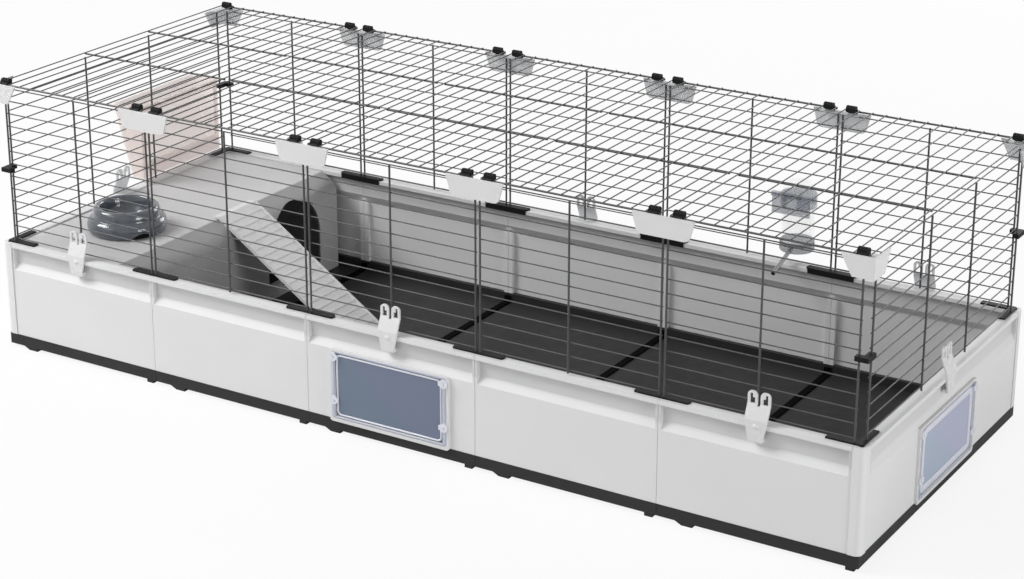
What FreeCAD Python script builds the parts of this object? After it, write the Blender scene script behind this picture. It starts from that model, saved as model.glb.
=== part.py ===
"""Long modular cage for small animals: floor tray, walls, meshes, hinged roof and fittings."""
import FreeCAD, Part
import os
import re
import Sketcher

Vector = FreeCAD.Vector

# How many times a thing repeats
BAY_COUNT = 5
ROW_COUNT = 13
CROSS_COUNT = 14
GROOVE_COUNT = 3
WINDOW_BAY = 3
LATCH_BAYS = (1, 3, 5)
BOTTLE_ROW = 5
RACK_ROW = 6
TIE_ROW = 5

# Driving sizes in millimetres and degrees
SIZES = [
    ("bay_pitch", 350.0, "length of one bay between joint lines"),
    ("end_overhang", 11.0, "rim beyond the outermost joint line"),
    ("cage_depth", 692.0, "front to back over the rims"),
    ("seat_gap", 0.3, "space between a resting piece and its seat"),
    ("joint_gap", 0.6, "open line between two wall panels"),
    ("cut_overrun", 6.0, "how far a cut runs past the faces it opens"),
    ("foot_height", 6.0, "floor tray above the ground"),
    ("skirt_height", 22.0, "height of the floor tray skirt"),
    ("skirt_inset", 2.5, "skirt face behind the rim edge"),
    ("skirt_width", 10.0, "thickness of the skirt"),
    ("floor_sheet", 3.0, "thickness of the floor"),
    ("foot_start", 34.0, "start of the sloped foot from the joint"),
    ("foot_slope", 12.0, "length of the slope on a foot"),
    ("foot_length", 32.0, "length of the sloped foot"),
    ("foot_reach", 40.0, "depth of a foot under the skirt"),
    ("bump_start", 7.0, "start of the foot bump from the joint"),
    ("bump_length", 15.0, "length of the foot bump"),
    ("centre_pad", 60.0, "side of the square foot in the middle of a bay"),
    ("strip_width", 14.0, "width of a floor joint strip"),
    ("strip_sheet", 2.5, "thickness of a floor joint strip"),
    ("strip_upturn", 14.0, "height of the upturned end of a strip"),
    ("wall_height", 185.0, "height of a wall panel with its rim"),
    ("wall_sheet", 3.0, "thickness of the wall"),
    ("face_inset", 1.5, "wall face behind the rim edge"),
    ("rim_width", 22.0, "width of the rim flange"),
    ("rim_sheet", 8.0, "thickness of the rim flange"),
    ("channel_depth", 10.0, "depth of the channel under the rim"),
    ("channel_height", 30.0, "height of the channel under the rim"),
    ("ledge_slope", 14.0, "drop of the ledge towards the wall face"),
    ("web_sheet", 5.0, "thickness of the web that ends the channel"),
    ("pilaster_width", 10.0, "width of the inner rib at a joint"),
    ("pilaster_depth", 7.0, "depth of the inner rib at a joint"),
    ("post_leg", 22.0, "side of a corner post"),
    ("post_radius", 11.0, "rounding of the outer corner of a post"),
    ("post_bore", 9.0, "diameter of the hollow in a corner post"),
    ("bar_length", 100.0, "length of a rim joint bar"),
    ("bar_width", 14.0, "width of a rim bar"),
    ("bar_height", 3.0, "height of a rim bar"),
    ("bar_inset", 8.0, "rim bar behind the rim edge"),
    ("bar_radius", 4.0, "rounding of the bar ends"),
    ("bar_lip_sheet", 1.8, "thickness of the bar lip behind the rim"),
    ("bar_lip_drop", 8.0, "bar lip below the rim top"),
    ("bracket_leg", 64.0, "leg of a rim corner bracket"),
    ("mesh_inset", 12.0, "mesh uprights behind the rim edge"),
    ("frame_wire", 3.6, "diameter of a thick wire"),
    ("thin_wire", 2.2, "diameter of a thin wire"),
    ("weld_sink", 0.6, "how far two welded wires sink into each other"),
    ("row_start", 5.3, "lowest rung above the lower end of the uprights"),
    ("row_pitch", 24.6, "spacing of the rungs"),
    ("pair_gap", 9.0, "uprights of two neighbouring meshes at a joint"),
    ("front_mesh_end", 24.0, "last upright of a long side from the rim end"),
    ("side_mesh_end", 31.0, "last upright of an end mesh from the rim end"),
    ("rod_reach", 95.0, "inner rods from the middle of the depth"),
    ("rail_inset", 10.0, "roof rail behind the rim edge"),
    ("roof_pair_gap", 18.0, "end wires of two neighbouring roof meshes"),
    ("roof_end", 14.0, "last roof wire from the rim end"),
    ("clip_length", 112.0, "length of a top clip"),
    ("clip_height", 36.0, "height of a top clip"),
    ("clip_sheet", 3.0, "thickness of a top clip"),
    ("front_clip_inset", 1.0, "front top clip behind the rim edge"),
    ("back_clip_inset", 4.0, "back top clip behind the rim edge"),
    ("front_clip_rise", 6.5, "top of a front clip above its shelf"),
    ("clip_taper", 7.0, "slope of a clip end"),
    ("clip_radius", 11.0, "rounding of the lower corners of a top clip"),
    ("clip_boss", 12.0, "height of the boss behind a top clip"),
    ("corner_leg", 58.0, "leg of a top corner clip"),
    ("corner_taper", 20.0, "slope of the end of a corner clip"),
    ("shelf_reach", 20.0, "inner edge of the clip shelf from the rim edge"),
    ("shelf_sheet", 2.0, "thickness of the clip shelf"),
    ("hook_radius", 4.5, "outer radius of a hook ring"),
    ("hook_fit", 0.2, "space between a hook ring and its rail"),
    ("hook_rise", 11.0, "top of a hook above its rail"),
    ("hook_depth", 11.0, "depth of the hook block"),
    ("hook_width", 18.0, "width of a hook"),
    ("hook_rounding", 4.0, "rounding of the hook top"),
    ("groove_width", 1.6, "width of a groove in the hook top"),
    ("groove_depth", 2.5, "depth of a groove in the hook top"),
    ("hook_slot", 3.0, "width of the slot under a hook ring"),
    ("tie_margin", 4.0, "tie beyond the wires it holds"),
    ("tie_height", 8.0, "height of a corner tie"),
    ("latch_width", 40.0, "width of a latch"),
    ("latch_foot_width", 25.0, "width of the latch foot"),
    ("latch_sheet", 3.0, "thickness of a latch"),
    ("latch_toe", 6.0, "latch toe inside the channel"),
    ("latch_toe_height", 6.0, "height of the latch toe"),
    ("latch_drop", 30.0, "latch foot below the rim top"),
    ("latch_bend_rise", 6.0, "first bend above the rim top"),
    ("latch_lean_rise", 30.0, "second bend above the rim top"),
    ("latch_tip_rise", 52.0, "latch tip above the rim top"),
    ("latch_slot", 5.0, "space between the two fingers"),
    ("latch_slot_rise", 27.0, "start of the finger slot above the rim top"),
    ("latch_eye", 8.5, "width of a finger eye"),
    ("latch_eye_height", 17.0, "height of a finger eye"),
    ("latch_eye_drop", 4.0, "finger eye below the tip"),
    ("latch_tongue", 4.0, "width of the tongue in a finger eye"),
    ("latch_tongue_height", 7.0, "height of the tongue in a finger eye"),
    ("latch_radius", 7.5, "rounding of the finger tips"),
    ("window_width", 250.0, "window frame across"),
    ("window_height", 138.0, "window frame from low to high"),
    ("window_drop", 3.0, "window frame below the wall"),
    ("window_sheet", 5.0, "thickness of the window frame"),
    ("window_side", 13.0, "width of the frame sides"),
    ("window_top", 7.0, "width of the frame top"),
    ("window_bottom", 11.0, "width of the frame bottom"),
    ("window_radius", 6.0, "rounding of the frame corners"),
    ("pane_sheet", 3.0, "thickness of the pane"),
    ("pane_gap", 0.6, "space around the pane"),
    ("pane_overlap", 7.0, "pane beyond the hole in the wall"),
    ("stud_radius", 2.5, "radius of a window stud"),
    ("stud_inset", 10.0, "stud from the frame side"),
    ("stud_top_inset", 14.0, "upper studs from the frame top"),
    ("stud_bottom_inset", 42.0, "lower studs from the frame bottom"),
    ("stud_tip", 0.8, "stud beyond its lug"),
    ("lug_radius", 8.0, "outer radius of a pane lug"),
    ("lug_sheet", 3.0, "thickness of a pane lug"),
    ("lug_bridge", 6.0, "length of the bridge from lug to pane"),
    ("house_inset", 24.0, "house from the rim edge"),
    ("house_width", 278.0, "house from the end wall inward"),
    ("house_drop", 2.0, "platform below the rim top"),
    ("house_sheet", 4.0, "thickness of the house"),
    ("shoulder_width", 38.0, "width of the slope beside the platform"),
    ("shoulder_angle", 29.0, "slope beside the platform in degrees"),
    ("house_radius", 30.0, "rounding between the slope and the wall of the house"),
    ("arch_width", 176.0, "width of the arched door"),
    ("arch_spring", 97.0, "top of the straight sides of the door above the floor"),
    ("arch_sill", 27.0, "top of the door sill above the floor"),
    ("sill_depth", 14.0, "depth of the door sill"),
    ("arch_place_share", 0.75, "middle of the door along the depth"),
    ("ramp_width", 116.0, "width of the ramp"),
    ("ramp_sheet", 4.0, "thickness of the ramp"),
    ("ramp_angle", 33.9, "slope of the ramp in degrees"),
    ("ramp_lip", 12.0, "lip of the ramp on the platform"),
    ("ramp_place_share", 0.545, "middle of the ramp along the depth"),
    ("ridge_pitch", 19.0, "spacing of the ramp ridges"),
    ("ridge_width", 3.0, "width of a ramp ridge"),
    ("ridge_height", 0.8, "height of a ramp ridge"),
    ("ramp_rim", 3.0, "width and height of the ramp side rims"),
    ("bowl_radius", 76.5, "radius of the bowl foot"),
    ("bowl_height", 50.0, "height of the bowl"),
    ("bowl_place", 151.0, "middle of the bowl from the left rim edge"),
    ("bowl_depth_share", 0.27, "middle of the bowl along the depth"),
    ("rack_width", 248.0, "hay rack along the end mesh"),
    ("rack_height", 152.0, "height of the hay rack"),
    ("rack_top_depth", 70.0, "depth of the hay rack at the top"),
    ("rack_bottom_depth", 28.0, "depth of the hay rack at the bottom"),
    ("rack_sheet", 2.5, "thickness of the hay rack"),
    ("rack_lip", 34.0, "lower edge of the feeding opening"),
    ("rack_rail", 12.0, "rail over and beside the feeding opening"),
    ("rack_place_share", 0.767, "middle of the hay rack along the depth"),
    ("hanger_width", 14.0, "width of a hanger hook"),
    ("hanger_sheet", 3.0, "thickness of a hanger hook"),
    ("hanger_drop", 5.0, "tip of a hanger hook below its bend"),
    ("hanger_spread_share", 0.24, "hanger hooks from the middle of the rack"),
    ("bottle_radius", 31.0, "radius of the bottle"),
    ("bottle_height", 116.0, "height of the bottle above its cap"),
    ("bottle_wall", 1.5, "thickness of the bottle"),
    ("bottle_dome", 12.0, "height of the sloping bottle end"),
    ("bottle_bay_share", 0.743, "bottle along its bay"),
    ("cap_radius", 33.0, "radius of the bottle cap"),
    ("cap_height", 20.0, "height of the bottle cap"),
    ("cap_floor", 7.0, "solid bottom of the cap"),
    ("spout_radius", 4.0, "radius of the spout"),
    ("spout_bore", 2.5, "radius of the hole in the spout"),
    ("spout_length", 84.0, "length of the spout"),
    ("spout_angle", 18.0, "slope of the spout in degrees"),
    ("spout_insert", 12.0, "spout inside the cap"),
    ("plate_width", 76.0, "width of the bottle bracket plate"),
    ("plate_height", 42.0, "height of the bottle bracket plate"),
    ("plate_sheet", 3.0, "thickness of the bottle bracket plate"),
    ("ring_sheet", 3.0, "thickness of the bottle bracket ring"),
    ("ring_height", 24.0, "height of the bottle bracket ring"),
]

# Sizes that follow from the driving sizes
DERIVED = [
    ("cage_length", f"{BAY_COUNT} * bay_pitch + 2 * end_overhang", "left to right over the rims"),
    ("half_length", "cage_length / 2", "middle to the end rim edge"),
    ("half_depth", "cage_depth / 2", "middle to the front rim edge"),
    ("floor_top", "foot_height + floor_sheet", "floor level"),
    ("skirt_top", "foot_height + skirt_height", "seat of the walls"),
    ("rim_top", "skirt_top + wall_height", "top of the rim"),
    ("rim_low", "rim_top - rim_sheet", "underside of the rim flange"),
    ("ledge_top", "rim_low - channel_height", "ledge under the channel"),
    ("bar_top", "rim_top + bar_height", "top of the rim bars"),
    ("mesh_low", "bar_top + seat_gap", "lower end of the uprights"),
    ("first_row", "mesh_low + row_start", "axis of the lowest rung"),
    ("last_row", f"first_row + {ROW_COUNT - 1} * row_pitch", "axis of the highest rung"),
    ("mesh_high", "last_row + thin_wire / 2", "upper end of the uprights"),
    ("shelf_low", "mesh_high + seat_gap", "underside of the clip shelf"),
    ("shelf_high", "shelf_low + shelf_sheet", "top of the clip shelf"),
    ("roof_level", "shelf_high + seat_gap + hook_radius", "axis of the roof rails"),
    ("roof_rail", "half_depth - rail_inset", "roof rails from the middle"),
    ("weld_step", "(frame_wire + thin_wire) / 2 - weld_sink", "rung axis behind the upright axis"),
    ("wire_face", "mesh_inset - frame_wire / 2 - seat_gap", "seat against the uprights"),
    ("rung_line", "mesh_inset + weld_step", "rung axis behind the rim edge"),
    ("rung_face", "rung_line - thin_wire / 2 - seat_gap", "seat against the rungs"),
    ("window_low", "skirt_top - window_drop", "lower edge of the window frames"),
    ("window_high", "window_low + window_height", "upper edge of the window frames"),
    ("window_front", "face_inset - window_sheet", "front of the window frame from the rim edge"),
    ("lug_back", "window_front - seat_gap", "back of the pane lugs from the rim edge"),
    ("lug_front", "lug_back - lug_sheet", "front of the pane lugs from the rim edge"),
    ("opening_half", "window_width / 2 - window_side", "half the frame opening"),
    ("opening_low", "window_low + window_bottom", "lower edge of the frame opening"),
    ("opening_high", "window_high - window_top", "upper edge of the frame opening"),
    ("platform_top", "rim_top - house_drop", "platform level"),
    ("house_right", "house_inset + house_width - half_length", "inner face of the house"),
    ("shoulder_level", "platform_top - shoulder_width * tan(shoulder_angle)",
     "foot of the slope beside the platform"),
    ("turn_place", "house_right - house_radius", "centre of the house rounding from the middle"),
    ("turn_slope", "(shoulder_width - house_radius) * tan(shoulder_angle)", "fall of the slope above that centre"),
    ("turn_drop", "turn_slope + house_radius / cos(shoulder_angle)", "that centre below the platform"),
    ("bend_level", "platform_top + seat_gap", "underside of the ramp lip"),
    ("bend_shift", "house_radius + seat_gap - (seat_gap + turn_drop) * cos(ramp_angle)",
     "bend across the ramp slope"),
    ("bend_place", "turn_place + bend_shift / sin(ramp_angle)", "bend of the ramp from the middle"),
    ("ramp_run", "(bend_level - floor_top - seat_gap) / sin(ramp_angle)", "length of the ramp slope"),
    ("ramp_slant", "ramp_sheet * tan(ramp_angle / 2)", "top bend behind the lower bend"),
    ("lip_run", "ramp_lip * cos(ramp_angle)", "lip along the slope"),
    ("lip_rise", "ramp_lip * sin(ramp_angle)", "lip across the slope"),
    ("lip_top_run", "lip_run + ramp_sheet * sin(ramp_angle)", "upper lip end along the slope"),
    ("lip_top_rise", "lip_rise - ramp_sheet * cos(ramp_angle)", "upper lip end across the slope"),
    ("rack_high", f"first_row + {RACK_ROW} * row_pitch + thin_wire / 2 + seat_gap + hanger_sheet",
     "top of the hay rack"),
    ("rack_low", "rack_high - rack_height", "bottom of the hay rack"),
    ("rack_place", "cage_depth * (rack_place_share - 1 / 2)", "middle of the hay rack"),
    ("bottle_place", f"bay_pitch * ({BAY_COUNT / 2 - 2} + bottle_bay_share)", "bottle from the middle"),
    ("ring_radius", "bottle_radius + seat_gap + ring_sheet", "outer radius of the bracket ring"),
    ("bottle_line", "rung_face - plate_sheet - ring_radius + ring_sheet / 2",
     "bottle axis behind the rim edge"),
    ("spout_pass", "first_row + row_pitch / 2", "spout level between the rungs"),
    ("spout_slope", "tan(spout_angle)", "rise of the spout over its run"),
    ("spout_back", "bottle_line + cap_radius - spout_insert", "inner end of the spout"),
    ("spout_top", "spout_pass + (rung_line - spout_back) * spout_slope", "level of the inner end"),
    ("cap_low", "spout_top - cap_height / 2", "bottom of the cap"),
    ("cap_top", "cap_low + cap_height", "seat of the bottle"),
    ("hanger_row", f"first_row + {BOTTLE_ROW} * row_pitch", "rung that carries the bottle"),
    ("plate_top", "hanger_row + thin_wire / 2 + seat_gap + hanger_sheet", "top of the bracket plate"),
]

# Bowl section as shares of its foot radius and its height
BOWL_SHARES = [
    (0.0, 0.0), (1.0, 0.0), (1.0, 0.06), (0.985, 0.3), (0.945, 0.56), (0.88, 0.8), (0.82, 1.0),
    (0.75, 1.0), (0.68, 0.5), (0.6, 0.3), (0.45, 0.2), (0.0, 0.18),
]

# Quarter round as shares of its radius, inward from the end and upward from the foot
ROUND_SHARES = [(0.0, 1.0), (0.076, 0.617), (0.293, 0.293), (0.617, 0.076), (1.0, 0.0)]

doc = FreeCAD.newDocument("small_animal_cage")
sheet = doc.addObject("Spreadsheet::Sheet", "Sizes")
derived_sheet = doc.addObject("Spreadsheet::Sheet", "Derived")
HOMES = {}
HOMES.update((alias, "Sizes." + alias) for alias, value, note in SIZES)
HOMES.update((alias, "Derived." + alias) for alias, formula, note in DERIVED)
WORD = re.compile(r"[a-z]\w*")


def linked(text):
    """Expression text in which every size name points at its sheet."""
    return WORD.sub(lambda word: HOMES.get(word.group(), word.group()), text)


for row, (alias, value, note) in enumerate(SIZES, start=1):
    sheet.set(f"A{row}", note)
    sheet.set(f"B{row}", str(value))
    sheet.setAlias(f"B{row}", alias)
for row, (alias, formula, note) in enumerate(DERIVED, start=1):
    derived_sheet.set(f"A{row}", note)
    derived_sheet.set(f"B{row}", "=" + linked(formula).replace("Derived.", ""))
    derived_sheet.setAlias(f"B{row}", alias)
doc.recompute()

VALUES = {alias: float(sheet.get(alias)) for alias, value, note in SIZES}
VALUES.update((alias, float(derived_sheet.get(alias))) for alias, formula, note in DERIVED)
UP = Vector(0, 0, 1)
TURNS = {
    "x": FreeCAD.Rotation(UP, Vector(1, 0, 0)),
    "y": FreeCAD.Rotation(UP, Vector(0, 1, 0)),
    "z": FreeCAD.Rotation(),
}
SIDE_TURNS = {"front": 0, "right": 90, "back": 180, "left": -90}
nodes = []


def number(text):
    """Present value of a size expression."""
    plain = WORD.sub(lambda word: f"({VALUES[word.group()]:.9f})", text)
    return FreeCAD.Units.Quantity(plain).Value


def bind(item, wanted):
    """Tie properties of an item to size expressions."""
    for name, text in wanted.items():
        item.setExpression(name, linked(text))


def place(item, point):
    """Tie the place of an item to three size expressions."""
    for axis, text in zip("xyz", point):
        bind(item, {f"Placement.Base.{axis}": text})


def origin(body, role):
    """Base plane or axis of a body."""
    return next(item for item in body.Origin.OriginFeatures if item.Role == role)


def new_body(label, side="front"):
    """Body of one sub-part, turned to its side of the cage."""
    body = doc.addObject("PartDesign::Body", label)
    body.Label = label
    body.Placement = FreeCAD.Placement(Vector(), FreeCAD.Rotation(UP, SIDE_TURNS[side]))
    nodes.append(body)
    return body


def block(body, name, across, along, upward, cut=False):
    """Box between two size expressions on each axis."""
    kind = "PartDesign::SubtractiveBox" if cut else "PartDesign::AdditiveBox"
    item = body.newObject(kind, name)
    low = []
    for ends, side in zip((across, along, upward), ("Length", "Width", "Height")):
        first, last = sorted(ends, key=number)
        low.append(first)
        bind(item, {side: f"({last}) - ({first})"})
    place(item, low)
    body.Tip = item
    return item


def rod(body, name, start, axis, length, radius, cut=False):
    """Cylinder from a start point along one axis."""
    kind = "PartDesign::SubtractiveCylinder" if cut else "PartDesign::AdditiveCylinder"
    item = body.newObject(kind, name)
    item.Placement = FreeCAD.Placement(Vector(), TURNS[axis])
    bind(item, {"Radius": radius, "Height": length})
    place(item, start)
    body.Tip = item
    return item


def outline(body, name, role, points, offset):
    """Closed straight-sided sketch through pairs of size expressions."""
    sketch = body.newObject("Sketcher::SketchObject", name)
    sketch.AttachmentSupport = [(origin(body, role), "")]
    sketch.MapMode = "FlatFace"
    bind(sketch, {"AttachmentOffset.Base.z": offset})
    corners = [Vector(number(across), number(upward), 0) for across, upward in points]
    for first, last in zip(corners, corners[1:] + corners[:1]):
        sketch.addGeometry(Part.LineSegment(first, last))
    for index, pair in enumerate(points):
        before = (index - 1) % len(points)
        sketch.addConstraint(Sketcher.Constraint("Coincident", before, 2, index, 1))
        for kind, text in zip(("DistanceX", "DistanceY"), pair):
            rule = Sketcher.Constraint(kind, -1, 1, index, 1, number(text))
            sketch.setExpression(f"Constraints[{sketch.addConstraint(rule)}]", linked(text))
    return sketch


def pad(body, name, sketch, length):
    """Sketch pulled out along its normal."""
    item = body.newObject("PartDesign::Pad", name)
    item.Profile = sketch
    bind(item, {"Length": length})
    body.Tip = item
    return item


def row_of(body, name, originals, axis, length, count):
    """Repeat features, or the whole body where none are named, along an axis."""
    item = body.newObject("PartDesign::LinearPattern", name)
    if originals:
        item.Originals = originals
    else:
        item.TransformMode = "Whole shape"
    item.Direction = (origin(body, axis), [""])
    bind(item, {"Length": length})
    item.Occurrences = count
    body.Tip = item
    return item


def mirrored(body, name, role):
    """Whole body repeated on the other side of a base plane."""
    item = body.newObject("PartDesign::Mirrored", name)
    item.TransformMode = "Whole shape"
    item.MirrorPlane = (origin(body, role), [""])
    body.Tip = item
    return item


def rounded(body, name, radius, direction, wanted):
    """Round the straight edges along a direction whose middle is wanted."""
    doc.recompute()
    base = body.Tip
    names = []
    for index, edge in enumerate(base.Shape.Edges, start=1):
        if edge.Curve.TypeId != "Part::GeomLine":
            continue
        lies_along = abs(edge.tangentAt(edge.FirstParameter).dot(direction)) > 1 - TINY_SHARE
        if lies_along and wanted(edge.CenterOfMass):
            names.append(f"Edge{index}")
    item = body.newObject("PartDesign::Fillet", name)
    item.Base = (base, names)
    bind(item, {"Radius": radius})
    body.Tip = item
    return item


TINY_SHARE = 0.001
ACROSS = Vector(1, 0, 0)
ALONG = Vector(0, 1, 0)


def joint_place(index):
    """Expression for a joint line, counted from the left end."""
    return f"({index - BAY_COUNT / 2} * bay_pitch)"


def bay_ends(bay, left_end, right_end, half_gap):
    """Two ends of a piece in one bay, at the cage ends or beside a joint."""
    left = left_end if bay == 1 else f"({joint_place(bay - 1)} + {half_gap})"
    right = right_end if bay == BAY_COUNT else f"({joint_place(bay)} - {half_gap})"
    return left, right


def around(middle, size):
    """Two ends of a size laid evenly about a middle."""
    return f"{middle} - ({size}) / 2", f"{middle} + ({size}) / 2"


def near(first, second):
    """True where two values agree closely beside the seat gap."""
    return abs(first - second) < VALUES["seat_gap"] / 2


# Floor tray
def floor_module(bay):
    """Floor plate of one bay with its skirts and feet."""
    body = new_body(f"floor_module_{bay}")
    end = "(half_length - skirt_inset)"
    left, right = bay_ends(bay, f"-{end}", end, "joint_gap / 2")
    front = "(half_depth - skirt_inset)"
    whole_depth = (f"-{front}", front)
    skirt_heights = ("foot_height", "skirt_top")
    block(body, "plate", (left, right), whole_depth, ("foot_height", "floor_top"))
    for sign, side in (("-", "front"), ("", "back")):
        ends = (f"{sign}{front}", f"{sign}({front} - skirt_width)")
        block(body, f"{side}_skirt", (left, right), ends, skirt_heights)
    if bay == 1:
        block(body, "end_skirt", (left, f"{left} + skirt_width"), whole_depth, skirt_heights)
    if bay == BAY_COUNT:
        block(body, "end_skirt", (f"{right} - skirt_width", right), whole_depth, skirt_heights)
    foot_left = f"{left} + foot_start"
    points = [
        (foot_left, "foot_height"),
        (f"{foot_left} + foot_slope", "0"),
        (f"{foot_left} + foot_length", "0"),
        (f"{foot_left} + foot_length", "foot_height"),
    ]
    bump = (f"{right} - bump_start - bump_length", f"{right} - bump_start")
    for sign, side in (("-", "front"), ("", "back")):
        offset = f"{front} - foot_reach" if sign else f"-{front}"
        side_view = outline(body, f"{side}_foot_view", "XZ_Plane", points, offset)
        pad(body, f"{side}_foot", side_view, "foot_reach")
        ends = (f"{sign}{front}", f"{sign}({front} - foot_reach)")
        block(body, f"{side}_bump", bump, ends, ("0", "foot_height"))
    middle = f"({left} + {right}) / 2"
    block(body, "middle_foot", around(middle, "centre_pad"), around("0", "centre_pad"), ("0", "foot_height"))


for bay in range(1, BAY_COUNT + 1):
    floor_module(bay)

body = new_body("floor_joint_strips")
inner = "(half_depth - skirt_inset - skirt_width)"
strip = around(joint_place(1), "strip_width")
block(body, "strip", strip, (f"-{inner}", inner), ("floor_top", "floor_top + strip_sheet"))
for sign, side in (("-", "front"), ("", "back")):
    ends = (f"{sign}{inner}", f"{sign}({inner} - strip_sheet)")
    block(body, f"{side}_upturn", strip, ends, ("floor_top", "floor_top + strip_upturn"))
row_of(body, "strips", None, "X_Axis", f"{BAY_COUNT - 2} * bay_pitch", BAY_COUNT - 1)


# Walls
def wall(body, name, ends, reach, window):
    """Folded wall with rim, channel and sloping ledge, its end webs and its inner ribs."""
    left, right = ends
    outer = f"-{reach}"
    section = [
        (outer, "rim_top"),
        (f"rim_width - {reach}", "rim_top"),
        (f"rim_width - {reach}", "rim_low"),
        (f"channel_depth + wall_sheet - {reach}", "rim_low"),
        (f"channel_depth + wall_sheet - {reach}", "ledge_top - wall_sheet"),
        (f"face_inset + wall_sheet - {reach}", "ledge_top - ledge_slope - wall_sheet"),
        (f"face_inset + wall_sheet - {reach}", "skirt_top"),
        (f"face_inset - {reach}", "skirt_top"),
        (f"face_inset - {reach}", "ledge_top - ledge_slope"),
        (f"channel_depth - {reach}", "ledge_top"),
        (f"channel_depth - {reach}", "rim_low"),
        (outer, "rim_low"),
    ]
    sheet_section = outline(body, f"{name}_section", "YZ_Plane", section, left)
    pad(body, f"{name}_sheet", sheet_section, f"{right} - {left}")
    web = (f"face_inset - {reach}", f"channel_depth - {reach}")
    rib = (f"face_inset + wall_sheet - {reach}", f"face_inset + wall_sheet + pilaster_depth - {reach}")
    for end, inward, side in ((left, "+", "left"), (right, "-", "right")):
        block(body, f"{name}_{side}_web", (end, f"{end} {inward} web_sheet"), web,
              ("ledge_top - ledge_slope", "rim_low"))
        block(body, f"{name}_{side}_rib", (end, f"{end} {inward} pilaster_width"), rib,
              ("skirt_top", "ledge_top - ledge_slope - wall_sheet"))
    if window:
        depth = (f"-cut_overrun - {reach}", f"face_inset + wall_sheet + cut_overrun - {reach}")
        half = "(opening_half - pane_overlap)"
        block(body, f"{name}_hole", (f"-{half}", half), depth,
              ("opening_low + pane_overlap", "opening_high - pane_overlap"), cut=True)


def wall_ends(bay):
    """Two ends of a wall panel on a long side."""
    end = "(half_length - post_leg - joint_gap)"
    return bay_ends(bay, f"-{end}", end, "joint_gap / 2")


for bay in range(1, BAY_COUNT + 1):
    wall(new_body(f"front_wall_{bay}"), "wall", wall_ends(bay), "half_depth", bay == WINDOW_BAY)
body = new_body("back_walls", "back")
for bay in range(1, BAY_COUNT + 1):
    wall(body, f"wall_{bay}", wall_ends(bay), "half_depth", False)
end_ends = ("(post_leg + joint_gap - half_depth)", "(half_depth - post_leg - joint_gap)")
wall(new_body("left_end_wall", "left"), "wall", end_ends, "half_length", False)
wall(new_body("right_end_wall", "right"), "wall", end_ends, "half_length", True)

body = new_body("corner_posts")
block(body, "post", ("-half_length", "post_leg - half_length"), ("-half_depth", "post_leg - half_depth"),
      ("skirt_top", "rim_top"))
rounded(body, "post_rounding", "post_radius", UP,
        lambda middle: near(middle.x, -VALUES["half_length"]) and near(middle.y, -VALUES["half_depth"]))
hollow_start = ("post_leg / 2 - half_length", "post_leg / 2 - half_depth", "skirt_top - cut_overrun")
rod(body, "post_hollow", hollow_start, "z", "wall_height + 2 * cut_overrun", "post_bore / 2", cut=True)
mirrored(body, "other_end", "YZ_Plane")
mirrored(body, "other_side", "XZ_Plane")

# Bars and brackets on the rim
body = new_body("rim_joint_bars")
bar_ends = ("bar_inset - half_depth", "bar_inset + bar_width - half_depth")
block(body, "bar", around(joint_place(1), "bar_length"), bar_ends, ("rim_top", "bar_top"))
rounded(body, "bar_rounding", "bar_radius", UP, lambda middle: True)
block(body, "lip", around(joint_place(1), "bar_length - 2 * bar_radius"),
      ("rim_width - half_depth", "rim_width + bar_lip_sheet - half_depth"),
      ("rim_top - bar_lip_drop", "bar_top"))
row_of(body, "bars", None, "X_Axis", f"{BAY_COUNT - 2} * bay_pitch", BAY_COUNT - 1)
mirrored(body, "other_side", "XZ_Plane")

body = new_body("rim_corner_brackets")
bracket_ends = ("bar_inset - half_length", "bar_inset + bar_width - half_length")
block(body, "long_leg", ("bar_inset - half_length", "bar_inset + bracket_leg - half_length"), bar_ends,
      ("rim_top", "bar_top"))
block(body, "short_leg", bracket_ends, ("bar_inset - half_depth", "bar_inset + bracket_leg - half_depth"),
      ("rim_top", "bar_top"))
rounded(body, "corner_rounding", "bar_radius", UP,
        lambda point: near(point.x, number(bracket_ends[0])) and near(point.y, number(bar_ends[0])))
mirrored(body, "other_end", "YZ_Plane")
mirrored(body, "other_side", "XZ_Plane")


# Wire meshes
def mesh(body, name, uprights, reach):
    """Uprights with rungs welded to their inner side."""
    for index, upright in enumerate(uprights):
        rod(body, f"{name}_upright_{index}", (upright, f"mesh_inset - {reach}", "mesh_low"), "z",
            "mesh_high - mesh_low", "frame_wire / 2")
    left, right = uprights[0], uprights[-1]
    rung = rod(body, f"{name}_rung", (f"{left} - frame_wire / 2", f"rung_line - {reach}", "first_row"), "x",
               f"{right} - {left} + frame_wire", "thin_wire / 2")
    row_of(body, f"{name}_rungs", [rung], "Z_Axis", "last_row - first_row", ROW_COUNT)


def bay_uprights(bay):
    """Uprights of a mesh on a long side."""
    end = "(half_length - front_mesh_end)"
    left, right = bay_ends(bay, f"-{end}", end, "pair_gap / 2")
    return [left, f"({left} + {right}) / 2", right]


for bay in range(1, BAY_COUNT + 1):
    mesh(new_body(f"front_mesh_{bay}"), "mesh", bay_uprights(bay), "half_depth")
body = new_body("back_meshes", "back")
for bay in range(1, BAY_COUNT + 1):
    mesh(body, f"mesh_{bay}", bay_uprights(bay), "half_depth")
end_uprights = ["(side_mesh_end - half_depth)", "-rod_reach", "rod_reach", "(half_depth - side_mesh_end)"]
for side in ("left", "right"):
    mesh(new_body(f"{side}_end_mesh", side), "mesh", end_uprights, "half_length")

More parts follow.
